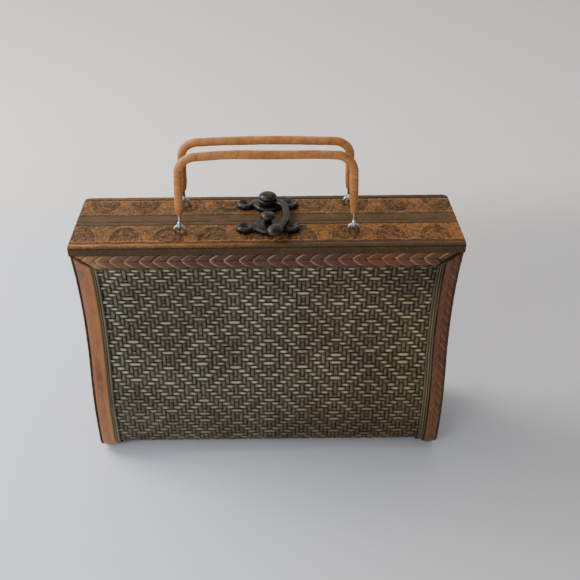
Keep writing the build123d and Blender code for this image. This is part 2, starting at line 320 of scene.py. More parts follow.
    def done(self, colour: Socket, roughness: Value, normal: Socket, **fixed: float) -> Material:
        """Feeds the shader and gives the material.

        Args:
            colour: base colour.
            roughness: roughness socket or number.
            normal: bump socket.
            fixed: other uniform numbers, with _ for a space.

        Returns:
            The finished material.
        """
        self.feed(self.shader.inputs["Base Color"], colour)
        self.feed(self.shader.inputs["Roughness"], roughness)
        self.feed(self.shader.inputs["Normal"], normal)
        for key, value in fixed.items():
            self.shader.inputs[key.replace("_", " ")].default_value = value
        return self.material


@dataclass(frozen=True)
class Finish:
    """What every finish has: a name for its material and a way to mix it."""

    name: str

    def mix(self) -> Material:
        """Makes the material."""
        raise NotImplementedError


@dataclass(frozen=True)
class StrandFinish(Finish):
    """Split cane of the woven skin, with painted shade in its hollows and a painted highlight on its tops."""

    lie: Lie
    low: Colour
    middle: Colour
    high: Colour
    painted_shade: Colour
    crest: Colour

    def mix(self) -> Material:
        """Mixes the material: stained along its fibre, with a painted highlight on its crests, browner to one
        end, and painted shade in its hollows and towards the top right corner.

        Returns:
            The material.
        """
        r = Recipe(self.name)
        broad = r.noise(r.place(), scale=0.03, detail=2)
        fibre = r.noise(r.place(self.lie.value), scale=2.4, detail=4, rough=0.6)
        blotch = r.noise(r.place(), scale=0.16, rough=0.6)
        tone = r.plus(r.times(r.mark(Mark.TONE), 0.55), r.times(fibre, 0.45))
        shade = r.ramp(tone, [(0.22, self.low), (0.5, self.middle), (0.78, self.high)])
        stain = r.ramp(blotch, [(0.36, tint(84, 66, 66)), (0.5, tint(96, 94, 70)), (0.64, tint(112, 84, 56))])
        shade = r.mix(0.34, shade, stain)
        # Painted highlight: a pale streak along the top of each float, which fades near the foot.
        painted_highlight = r.times(r.grade(r.mark(Mark.CREST), 0.08, 0.8), r.grade(tone, 0.1, 0.6))
        above_foot = r.scaled(r.grade(r.axis(Axis.HEIGHT), 0.004, 0.07), 0.88, 0.12)
        shade = r.lay(shade, self.crest, painted_highlight, above_foot)
        brown = r.mix(1.0, shade, tint(255, 238, 210), Blend.GLAZE)
        shade = r.mix(r.grade(r.axis(Axis.ACROSS), -0.02, 0.08), shade, brown)
        # Painted shade: the top right corner of the face darkens towards the shade colour.
        corner = r.times(
            r.grade(r.axis(Axis.ACROSS), 0.02, 0.08), r.grade(r.axis(Axis.HEIGHT), 0.085, 0.125)
        )
        shade = r.lay(shade, self.painted_shade, corner, 0.5)
        murk = r.mix(1.0, shade, tint(176, 150, 126), Blend.GLAZE)
        shade = r.lay(shade, murk, r.grade(broad, 0.42, 0.62), 0.4)
        # Painted shade: where a strand dips under its neighbours, and along its sides, it darkens to the
        # shade colour.
        shade = r.mix(r.grade(r.mark(Mark.RISE), 0.22, 0.95), self.painted_shade, shade)
        return r.done(shade, r.scaled(blotch, 0.25, 0.42), r.bump(fibre, 0.1, 0.55), Specular_IOR_Level=0.35)


@dataclass(frozen=True)
class ShadeSheetFinish(Finish):
    """A dark sheet with a cloth texture behind the woven skin: painted shade that keeps the gaps in the weave
    dark.
    """

    thread: float = 1.1
    waver: float = 0.6

    def threads(self, r: Recipe, **settings: str) -> Socket:
        """One set of the cloth's threads."""
        inputs = {"Vector": r.place(), "Scale": self.thread, "Distortion": self.waver}
        return r.node("ShaderNodeTexWave", inputs, "Fac", **settings)

    def mix(self) -> Material:
        """Mixes the material.

        Returns:
            The material.
        """
        r = Recipe(self.name)
        cloth = r.times(self.threads(r), self.threads(r, bands_direction="Z"))
        cloud = r.noise(r.place(), scale=0.07)
        shade = r.mix(r.grade(cloud, 0.35, 0.65), tint(48, 40, 30), tint(62, 50, 38))
        shade = r.lay(shade, tint(84, 70, 54), cloth, 0.5)
        return r.done(shade, 0.85, r.bump(cloth, 0.12, 0.6), Specular_IOR_Level=0.2)


@dataclass(frozen=True)
class PlaitFinish(Finish):
    """Leaves of a plait, stained in stretches along it, with a painted highlight along one edge of each leaf
    and painted shade on their undersides.
    """

    stretches: tuple[Stop, ...]
    along: Axis
    middle: float
    span: float
    edge: Colour

    def mix(self) -> Material:
        """Mixes the material.

        Returns:
            The material.
        """
        r = Recipe(self.name)
        offset = r.calc(Sum.SUBTRACT, r.axis(self.along), self.middle)
        share = r.plus(r.calc(Sum.DIVIDE, offset, self.span), 0.45)
        spot = r.plus(share, r.times(r.noise(r.place(), scale=0.12, detail=2), 0.1))
        shade = r.ramp(spot, self.stretches)
        fibre = r.noise(r.place((1.0, 1.0, 1.4), turn=(0.0, 0.7, 0.0)), scale=1.6, detail=4, rough=0.65)
        shade = r.grained(shade, 0.55, fibre, (0.3, tint(58, 36, 28)), (0.75, tint(222, 196, 170)))
        blotch = r.noise(r.place(), scale=0.35, rough=0.6)
        shade = r.lay(shade, tint(92, 80, 54), r.grade(blotch, 0.5, 0.66), 0.6)
        shade = r.lay(shade, tint(70, 44, 34), r.mark(Mark.TONE), 0.4)
        # Painted highlight along the marked edge of each leaf.
        painted_highlight = r.times(r.grade(r.mark(Mark.EDGE), 0.4, 1.0), r.grade(fibre, 0.3, 0.6))
        painted_highlight = r.times(painted_highlight, r.scaled(r.grade(r.mark(Mark.TONE), 0.1, 0.9), 0.6, 0.4))
        shade = r.lay(shade, self.edge, painted_highlight, 0.85)
        # Painted shade on the undersides of the leaves.
        shade = r.mix(r.grade(r.mark(Mark.RISE), 0.45, 0.0), shade, tint(34, 22, 16))
        return r.done(shade, r.scaled(fibre, 0.3, 0.36), r.bump(fibre, 0.15, 0.6), Specular_IOR_Level=0.4)


@dataclass(frozen=True)
class BarkFinish(Finish):
    """A bare strip of polished bark, brighter towards its inner edge."""

    def mix(self) -> Material:
        """Mixes the material.

        Returns:
            The material.
        """
        r = Recipe(self.name)
        fibre = r.noise(r.place((1.0, 1.0, 0.1)), scale=1.1, detail=4, rough=0.6)
        cloud = r.noise(r.place((1.0, 1.0, 0.5)), scale=0.16, rough=0.6)
        shade = r.ramp(cloud, [(0.3, tint(118, 76, 42)), (0.5, tint(150, 98, 54)), (0.7, tint(172, 116, 66))])
        shade = r.grained(shade, 0.45, fibre, (0.3, tint(80, 50, 34)), (0.7, tint(205, 160, 110)))
        shade = r.lay(shade, tint(190, 134, 76), r.grade(r.mark(Mark.EDGE), 0.55, 1.0), 0.75)
        shade = r.lay(shade, tint(92, 66, 46), r.grade(r.mark(Mark.EDGE), 0.22, 0.0), 0.75)
        fleck = r.noise(r.place((1.0, 1.0, 0.35)), scale=0.75, detail=2, rough=0.5)
        shade = r.lay(shade, tint(44, 26, 16), r.grade(fleck, 0.7, 0.76), 0.8)
        return r.done(shade, r.scaled(cloud, 0.3, 0.3), r.bump(fibre, 0.12, 0.5), Specular_IOR_Level=0.5)


@dataclass(frozen=True)
class CarvedFinish(Finish):
    """Tooled wood: dark in its cuts, orange where it is worn smooth, pale along worn ridges."""

    plain: Colour
    warm: Colour
    murk: Colour

    def mix(self) -> Material:
        """Mixes the material.

        Returns:
            The material.
        """
        r = Recipe(self.name)
        grain = r.noise(r.place(Lie.ALONG.value), scale=1.3, detail=5, rough=0.65, bend=0.4)
        patch = r.noise(r.place((1.0, 1.3, 1.0)), scale=0.085)
        mottle = r.noise(r.place((0.7, 1.0, 1.0)), scale=0.45, detail=4, rough=0.65)
        shade = r.mix(r.grade(patch, 0.46, 0.66), self.plain, self.warm)
        shade = r.lay(shade, tint(162, 104, 46), r.mark(Mark.SMOOTH), 0.75)
        shade = r.lay(shade, self.murk, r.grade(mottle, 0.45, 0.64), 0.4)
        shade = r.grained(shade, 0.6, grain, (0.28, tint(52, 38, 30)), (0.74, tint(208, 184, 152)))
        glint = r.noise(r.place((1.0, 1.4, 1.0)), scale=0.9, detail=2, rough=0.6)
        shade = r.lay(shade, tint(186, 140, 84), r.grade(glint, 0.55, 0.66), 0.5)
        shade = r.lay(shade, self.murk, r.mark(Mark.RIMMED), 0.9)
        shade = r.lay(shade, tint(40, 30, 18), r.mark(Mark.CARVE), 0.95)
        rub = r.noise(r.place((0.35, 1.0, 1.0)), scale=0.3, rough=0.6)
        shade = r.lay(shade, tint(172, 116, 64), r.mark(Mark.WORN), r.grade(rub, 0.28, 0.6))
        speck = r.noise(r.place(), scale=1.5, detail=2, rough=0.6)
        shade = r.lay(shade, tint(60, 44, 28), r.grade(speck, 0.6, 0.7), 0.6)
        height = r.plus(r.times(grain, 0.6), r.times(mottle, 0.5))
        return r.done(shade, r.scaled(mottle, 0.3, 0.42), r.bump(height, 0.3, 0.7), Specular_IOR_Level=0.2)


@dataclass(frozen=True)
class WoodFinish(Finish):
    """Plain stained wood with its grain."""

    lie: Lie
    dark: Colour
    light: Colour

    def mix(self) -> Material:
        """Mixes the material.

        Returns:
            The material.
        """
        r = Recipe(self.name)
        grain = r.noise(r.place(self.lie.value), scale=1.0, detail=5, rough=0.65, bend=0.5)
        cloud = r.noise(r.place(), scale=0.09)
        shade = r.ramp(grain, [(0.28, self.dark), (0.72, self.light)])
        shade = r.lay(shade, tint(66, 58, 46), cloud, 0.5)
        shade = r.lay(shade, tint(34, 25, 18), r.mark(Mark.CARVE), 0.85)
        return r.done(shade, r.scaled(grain, 0.25, 0.48), r.bump(grain, 0.2, 0.6), Specular_IOR_Level=0.35)


@dataclass(frozen=True)
class CaneFinish(Finish):
    """Tan cane wound round a handle."""

    def mix(self) -> Material:
        """Mixes the material.

        Returns:
            The material.
        """
        r = Recipe(self.name)
        cloud = r.noise(r.place((0.5, 1.0, 0.8)), scale=0.22, rough=0.6)
        fibre = r.noise(r.place((0.3, 1.0, 1.0)), scale=2.2, detail=4, rough=0.6)
        tans = [(0.3, tint(150, 98, 46)), (0.5, tint(178, 120, 62)), (0.72, tint(198, 144, 84))]
        shade = r.ramp(cloud, tans)
        shade = r.grained(shade, 0.4, fibre, (0.3, tint(96, 60, 34)), (0.72, tint(226, 190, 146)))
        shade = r.lay(shade, tint(158, 102, 58), r.mark(Mark.TONE), 0.35)
        shade = r.lay(shade, tint(104, 58, 28), r.mark(Mark.SEAM), 0.7)
        return r.done(shade, r.scaled(fibre, 0.25, 0.34), r.bump(fibre, 0.08, 0.5), Specular_IOR_Level=0.45)


@dataclass(frozen=True)
class MetalFinish(Finish):
    """Metal with a patina that gathers in patches."""

    bright: Colour
    dull: Colour
    gloss: float
    metal: float = 1.0

    def mix(self) -> Material:
        """Mixes the material.

        Returns:
            The material.
        """
        r = Recipe(self.name)
        cloud = r.noise(r.place(), scale=0.5, detail=4, rough=0.6)
        pit = r.noise(r.place(), scale=2.6, rough=0.6)
        shade = r.mix(r.grade(cloud, 0.38, 0.64), self.bright, self.dull)
        return r.done(shade, r.scaled(pit, 0.22, self.gloss), r.bump(pit, 0.12, 0.4), Metallic=self.metal)


@dataclass(frozen=True)
class FloorFinish(Finish):
    """The pale floor, with painted shade that makes it darker and warmer to the right, and warmer at its
    back.
    """

    def mix(self) -> Material:
        """Mixes the material.

        Returns:
            The material.
        """
        r = Recipe(self.name)
        cloud = r.noise(r.place(), scale=0.002, detail=2)
        fine = r.noise(r.place(), scale=0.4, rough=0.6)
        shade = r.ramp(cloud, [(0.3, tint(228, 232, 239)), (0.7, tint(233, 236, 241))])
        # Painted shade: the floor turns darker and warmer towards the right.
        shade = r.mix(r.grade(r.axis(Axis.ACROSS), -0.14, 0.2), shade, tint(203, 200, 198))
        shade = r.mix(r.grade(r.axis(Axis.DEPTH), 0.2, 0.36), shade, tint(244, 239, 231))
        return r.done(shade, 0.55, r.bump(fine, 0.05, 0.15), Specular_IOR_Level=0.3)


def mix_finishes() -> dict[str, Material]:
    """Mixes every finish of the bag.

    Returns:
        Name of each material to the material.
    """
    # hollow is the colour of the painted shade in the strands' hollows; each crest is the colour of the
    # painted highlight on their tops.
    painted_shade = tint(20, 17, 11)
    dark_warp = StrandFinish(
        "dark_warp", Lie.UP, low=tint(50, 48, 34), middle=tint(69, 66, 48), high=tint(88, 83, 62),
        painted_shade=painted_shade, crest=tint(108, 103, 80),
    )
    pale_weft = StrandFinish(
        "pale_weft", Lie.ALONG, low=tint(78, 75, 57), middle=tint(98, 93, 71), high=tint(118, 113, 90),
        painted_shade=painted_shade, crest=tint(178, 172, 151),
    )
    thin_strands = StrandFinish(
        "thin_strands", Lie.UP, low=tint(78, 73, 57), middle=tint(104, 98, 78), high=tint(126, 119, 98),
        painted_shade=tint(38, 33, 24), crest=tint(136, 128, 106),
    )
    top_plait = PlaitFinish(
        "top_plait",
        (
            (0.0, tint(176, 142, 92)), (0.07, tint(166, 126, 80)), (0.13, tint(114, 78, 46)),
            (0.3, tint(90, 60, 38)), (0.5, tint(84, 52, 34)), (0.66, tint(94, 57, 35)),
            (0.8, tint(122, 72, 42)), (0.9, tint(114, 70, 42)), (1.0, tint(94, 58, 38)),
        ),
        Axis.ACROSS, middle=0.0, span=0.21, edge=tint(190, 150, 108),
    )
    side_plait = PlaitFinish(
        "side_plait",
        (
            (0.0, tint(126, 90, 48)), (0.25, tint(122, 78, 42)), (0.55, tint(108, 62, 36)),
            (0.85, tint(112, 62, 38)), (1.0, tint(88, 62, 38)),
        ),
        Axis.HEIGHT, middle=0.068, span=0.14, edge=tint(158, 110, 76),
    )
    finishes = (
        dark_warp,
        pale_weft,
        # A dark sheet behind the weave, as painted shade.
        ShadeSheetFinish("shade_sheet_cloth"),
        top_plait,
        side_plait,
        WoodFinish("dark_ground", Lie.UP, dark=tint(40, 30, 22), light=tint(74, 56, 42)),
        WoodFinish("edging_cord", Lie.ALONG, dark=tint(76, 62, 44), light=tint(122, 100, 74)),
        thin_strands,
        BarkFinish("polished_bark"),
        CarvedFinish("tooled_wood", plain=tint(114, 83, 42), warm=tint(146, 98, 48), murk=tint(64, 53, 36)),
        WoodFinish("end_wood", Lie.UP, dark=tint(56, 44, 34), light=tint(104, 80, 56)),
        WoodFinish("rail_wood", Lie.ALONG, dark=tint(70, 52, 36), light=tint(124, 96, 66)),
        MetalFinish("dark_bronze", bright=tint(70, 67, 61), dull=tint(44, 42, 38), gloss=0.29, metal=0.9),
        MetalFinish("sunk_bronze", bright=tint(46, 43, 39), dull=tint(26, 24, 22), gloss=0.42, metal=0.8),
        MetalFinish("bright_wire", bright=tint(196, 198, 202), dull=tint(150, 152, 156), gloss=0.18),
        MetalFinish("old_brass", bright=tint(176, 140, 78), dull=tint(112, 88, 52), gloss=0.3),
        CaneFinish("wrapping_cane"),
    )
    return {finish.name: finish.mix() for finish in finishes}


# ---------------------------------------------------------------- mesh tools

NOISE_VALUES = 4096
ROW_STRIDE = 37.0
ROW_CYCLE = 61
SPARE = 9


def read_points(mesh: Mesh) -> np.ndarray:
    """Reads the vertices of a mesh.

    Args:
        mesh: the mesh.

    Returns:
        Rows of x, y and z.
    """
    flat = np.zeros(len(mesh.vertices) * 3)
    mesh.vertices.foreach_get("co", flat)
    return flat.reshape(-1, 3)


def write_points(mesh: Mesh, points: np.ndarray) -> None:
    """Moves the vertices of a mesh."""
    mesh.vertices.foreach_set("co", points.astype(np.float32).ravel())
    mesh.update()


def write_mark(mesh: Mesh, mark: Mark, values: np.ndarray) -> None:
    """Writes a number for each vertex that a finish reads."""
    layer = mesh.attributes.new(mark.value, "FLOAT", "POINT")
    layer.data.foreach_set("value", np.clip(values, 0, 1).astype(np.float32))


def to_mesh(bm: BMesh, name: str) -> Mesh:
    """Turns a bmesh into a mesh and frees it.

    Args:
        bm: the bmesh.
        name: name of the mesh.

    Returns:
        The mesh.
    """
    mesh = bpy.data.meshes.new(name)
    bm.to_mesh(mesh)
    bm.free()
    return mesh


def pour(mesh: Mesh, bm: BMesh) -> None:
    """Adds a mesh to a bmesh and removes it."""
    bm.from_mesh(mesh)
    bpy.data.meshes.remove(mesh)


def settle(mesh: Mesh, points: np.ndarray) -> None:
    """Moves the vertices of closed shells into place and turns their faces outwards.

    Args:
        mesh: the shells.
        points: rows of x, y and z in metres.
    """
    write_points(mesh, points)
    bm = bmesh.new()
    bm.from_mesh(mesh)
    bmesh.ops.recalc_face_normals(bm, faces=bm.faces)
    bm.to_mesh(mesh)
    bm.free()


def ease(part: np.ndarray) -> np.ndarray:
    """A share from 0 to 1 that starts and ends gently."""
    return part * part * (3 - 2 * part)


def smooth_noise(spots: np.ndarray, seed: int) -> np.ndarray:
    """Smooth random values from -1 to 1 along a line, with a bend about every unit.

    Args:
        spots: places along the line.
        seed: seed of the values.

    Returns:
        A value for each place.
    """
    values = np.random.default_rng(seed).uniform(-1, 1, NOISE_VALUES)
    low = np.floor(spots).astype(int)
    part = ease(spots - low)
    return values[low % NOISE_VALUES] * (1 - part) + values[(low + 1) % NOISE_VALUES] * part


def plane_noise(first: np.ndarray, second: np.ndarray, seed: int) -> np.ndarray:
    """Smooth random values from -1 to 1 over a plane.

    Args:
        first: places along one side.
        second: places along the other side.
        seed: seed of the values.

    Returns:
        A value for each place.
    """
    low = np.floor(second).astype(int)
    part = ease(second - low)
    ground = smooth_noise(first + ROW_STRIDE * (low % ROW_CYCLE), seed)
    above = smooth_noise(first + ROW_STRIDE * ((low + 1) % ROW_CYCLE), seed)
    return ground * (1 - part) + above * part


def round_cut(distance: np.ndarray, width: float) -> np.ndarray:
    """A rounded cut, 1 at its middle and 0 past its width."""
    return np.clip(1 - (distance / width) ** 2, 0, 1)


def boxy(values: np.ndarray, power: float) -> np.ndarray:
    """Sides of a round tube pushed out towards a box, more so for a smaller power."""
    return np.sign(values) * np.abs(values) ** power


def beside(line: np.ndarray) -> np.ndarray:
    """Finds the direction across a flat line.

    Args:
        line: rows of x and y.

    Returns:
        The direction at each point, one long.
    """
    slope = np.gradient(line, axis=0)
    slope /= np.linalg.norm(slope, axis=1)[:, None]
    return np.stack([-slope[:, 1], slope[:, 0]], axis=1)


def run_along(first: np.ndarray, second: np.ndarray) -> np.ndarray:
    """Distance along a flat line to each of its points."""
    return np.concatenate([[0], np.cumsum(np.hypot(np.diff(first), np.diff(second)))])


def smooth_line(marks: np.ndarray, count: int) -> np.ndarray:
    """A smooth curve through a few marks.

    Args:
        marks: rows of x and y.
        count: number of points wanted.

    Returns:
        Rows of x and y.
    """
    spot = np.linspace(0, len(marks) - 1, count)
    low = np.clip(spot.astype(int), 0, len(marks) - 2)
    part = (spot - low)[:, None]
    padded = np.concatenate([[2 * marks[0] - marks[1]], marks, [2 * marks[-1] - marks[-2]]])
    p0, p1, p2, p3 = (padded[low + k] for k in range(4))
    return 0.5 * (2 * p1 + (p2 - p0) * part + (2 * p0 - 5 * p1 + 4 * p2 - p3) * part**2
                  + (3 * p1 - p0 - 3 * p2 + p3) * part**3)


def flat_sheet(low: Sequence[float], high: Sequence[float], cuts: tuple[int, int], thick: float) -> Mesh:
    """A thin closed sheet in flat coordinates, to be bent with the work on it.

    Args:
        low: its lower corner.
        high: its upper corner.
        cuts: number of cuts across and along.
        thick: its thickness.

    Returns:
        The sheet.
    """
    bm = bmesh.new()
    bmesh.ops.create_cube(bm, size=1)
    for axis, cut in enumerate(cuts):
        edges = [e for e in bm.edges if abs((e.verts[0].co - e.verts[1].co)[axis]) > 1e-3]
        bmesh.ops.subdivide_edges(bm, edges=edges, cuts=cut)
    mesh = to_mesh(bm, "sheet")
    points = read_points(mesh) + 0.5
    for axis in (0, 1):
        points[:, axis] = low[axis] + points[:, axis] * (high[axis] - low[axis])
    points[:, 2] *= thick
    write_points(mesh, points)
    return mesh


@dataclass
class Rack:
    """Closed unit tubes laid end to end, ready to be bent into strands, leaves or wraps."""

    count: int
    rows: int
    sides: int
    mesh: Mesh = field(init=False)
    tube: np.ndarray = field(init=False)
    row: np.ndarray = field(init=False)
    across: np.ndarray = field(init=False)
    up: np.ndarray = field(init=False)

    def __post_init__(self) -> None:
        """Builds the tubes and notes each vertex's tube, row and side."""
        bm = bmesh.new()
        bmesh.ops.create_grid(bm, x_segments=self.rows - 1, y_segments=self.sides, size=1)
        for vert in bm.verts:
            turn = (vert.co.y + 1) / 2 * TAU
            vert.co = ((vert.co.x + 1) / 2 * (self.rows - 1), math.cos(turn), math.sin(turn))
        bmesh.ops.remove_doubles(bm, verts=bm.verts, dist=1e-4)
        bmesh.ops.holes_fill(bm, edges=bm.edges, sides=0)
        bmesh.ops.recalc_face_normals(bm, faces=bm.faces)
        first = bm.verts[:] + bm.edges[:] + bm.faces[:]
        step = self.rows + SPARE
        for number in range(1, self.count):
            copied = bmesh.ops.duplicate(bm, geom=first)["geom"]
            verts = [part for part in copied if isinstance(part, bmesh.types.BMVert)]
            bmesh.ops.translate(bm, verts=verts, vec=(number * step, 0, 0))
        self.mesh = to_mesh(bm, "rack")
        points = read_points(self.mesh)
        self.tube = np.floor((points[:, 0] + 0.5) / step).astype(int)
        self.row = np.rint(points[:, 0] - self.tube * step).astype(int)
        self.across = points[:, 1]
        self.up = points[:, 2]

    @property
    def share(self) -> np.ndarray:
        """How far along its tube each vertex lies, 0 to 1."""
        return self.row / (self.rows - 1)


@dataclass(frozen=True)
class Finished:
    """Adds a finished mesh to the scene on its body, and hides the CAD nodes that it stands for."""

    body: str
    nodes: tuple[str, ...]
    slot: str

    def add(self, name: str, mesh: Mesh, material: Material, angle: float = 180.0) -> None:
        """Makes the piece that stands for the CAD nodes.

        Args:
            name: name of the piece.
            mesh: its mesh, in place.
            material: its material.
            angle: faces that meet at less than this are shaded as one, in degrees.
        """
        mesh.name = name
        mesh.materials.clear()
        mesh.materials.append(material)
        mesh.shade_smooth()
        if angle < 180:
            mesh.set_sharp_from_angle(angle=math.radians(angle))
        piece = bpy.data.objects.new(name, mesh)
        bpy.context.scene.collection.objects.link(piece)
        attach(piece, self.body)
        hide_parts(*self.nodes)
        log.info("%s: %d faces", name, len(mesh.polygons))


def merged_copy(node: str) -> BMesh:
    """Copies a CAD node's mesh and joins its loose triangles.

    Args:
        node: name of the node.

    Returns:
        The copy.
    """
    bm = bmesh.new()
    bm.from_mesh(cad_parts[node].data)
    bmesh.ops.remove_doubles(bm, verts=bm.verts, dist=1e-6)
    return bm


def skinned(bm: BMesh, voxel: float, rounds: int) -> Mesh:
    """One even skin over closed shapes that may cut into each other.

    Args:
        bm: the shapes; it is freed.
        voxel: size of the new faces, in millimetres.
        rounds: rounds of smoothing.

    Returns:
        The new mesh.
    """
    old = to_mesh(bm, "carrier")
    carrier = bpy.data.objects.new("carrier", old)
    bpy.context.scene.collection.objects.link(carrier)
    remesh = carrier.modifiers.new("remesh", "REMESH")
    remesh.mode = "VOXEL"
    remesh.voxel_size = voxel * MM
    soften = carrier.modifiers.new("soften", "SMOOTH")
    soften.iterations = rounds
    graph = bpy.context.evaluated_depsgraph_get()
    mesh = bpy.data.meshes.new_from_object(carrier.evaluated_get(graph))
    bpy.data.objects.remove(carrier)
    bpy.data.meshes.remove(old)
    return mesh


# ---------------------------------------------------------------- the trays


@dataclass(frozen=True)
class Tray:
    """One half of the bag and the curve of its face. Lengths are in millimetres."""

    name: str
    sign: int
    edge: float
    seam_y: float = -2.0
    base_edge: float = 3.4
    band: float = 17.4
    rim: float = 4.1
    flare: float = 29.5
    flare_height: float = 22.0
    corner: float = 14.0
    waist: float = 18.8
    waist_height: float = 97.0
    top: float = 135.2
    sway: float = 134.1
    crown: float = 135.41

    @property
    def in_front(self) -> bool:
        """Whether this is the front tray."""
        return self.sign < 0

    @property
    def body(self) -> str:
        """The CAD body that the tray is part of."""
        return f"{self.name}_half"

    @property
    def extra(self) -> float:
        """How much deeper this tray is than the front one."""
        return self.edge - self.base_edge

    @property
    def rim_start(self) -> float:
        """Depth at which the tooled band meets the rim."""
        return self.edge + self.band

    @property
    def depth(self) -> float:
        """Depth of the rim, from the seam."""
        return self.rim_start + self.rim

    def curve(self, growth: float, start: float) -> np.ndarray:
        """The outline of the face, from underneath up to the rim.

        Args:
            growth: how far outside the face the curve lies.
            start: depth at which it starts underneath.

        Returns:
            Rows of distance along it, depth, height, and the outward direction's depth and height.
        """
        steps = np.linspace(0, 1, 160)
        still = np.ones_like(steps)
        flare = self.flare + self.extra
        waist = self.waist + self.extra
        bow = math.asin((self.waist_height - self.flare_height) / (2 * self.sway))
        lean = math.asin((self.top - self.waist_height) / (self.crown - growth))
        wall = self.flare_height - self.corner

        def arc(depth: float, height: float, radius: float, turns: np.ndarray, way: int) -> tuple:
            """Draws an arc of the outline.

            Args:
                depth: depth of its centre.
                height: height of its centre.
                radius: its radius.
                turns: the angle of each point.
                way: 1, or -1 where the centre lies outside the bag.

            Returns:
                Depths and heights of its points, and their outward directions.
            """
            out, rise = np.cos(turns), np.sin(turns)
            size = radius + way * growth
            return depth + size * out, height + size * rise, way * out, way * rise

        pieces = [
            (start + steps * (flare - self.corner - start), -growth * still, 0 * still, -still),
            arc(flare - self.corner, self.corner, self.corner, -math.pi / 2 + steps * math.pi / 2, 1),
            ((flare + growth) * still, self.corner + steps * wall, still, 0 * still),
            arc(flare - self.sway, self.flare_height, self.sway, steps * bow, 1),
            arc(waist + self.sway, self.waist_height, self.sway, math.pi + (1 - steps) * bow, -1),
            arc(waist + self.crown, self.waist_height, self.crown, math.pi - steps * lean, -1),
        ]
        depth, height, out, rise = (np.concatenate([piece[part] for piece in pieces]) for part in range(4))
        return np.stack([run_along(depth, height), depth, height, out, rise])

    def length(self, growth: float, start: float) -> float:
        """Length of the outline up to the rim."""
        return float(self.curve(growth, start)[0][-1])

    def run_at(self, height: float, growth: float, start: float) -> float:
        """Distance along the outline to a height on its wall."""
        run, _, heights, _, _ = self.curve(growth, start)
        return float(np.interp(height, heights, run))

    def bend(
        self, x: np.ndarray, run: np.ndarray, rise: np.ndarray, growth: float, start: float
    ) -> np.ndarray:
        """Lays flat work on the face.

        Args:
            x: place across the bag.
            run: distance along the outline.
            rise: height above the outline.
            growth: how far outside the face the outline lies.
            start: depth at which it starts.

        Returns:
            Rows of x, y and z in metres.
        """
        runs, depths, heights, outs, rises = self.curve(growth, start)
        out = np.interp(run, runs, outs)
        lift = np.interp(run, runs, rises)
        size = np.hypot(out, lift)
        depth = np.interp(run, runs, depths) + rise * out / size
        height = np.interp(run, runs, heights) + rise * lift / size
        return np.stack([x, self.seam_y + self.sign * depth, height], axis=1) * MM


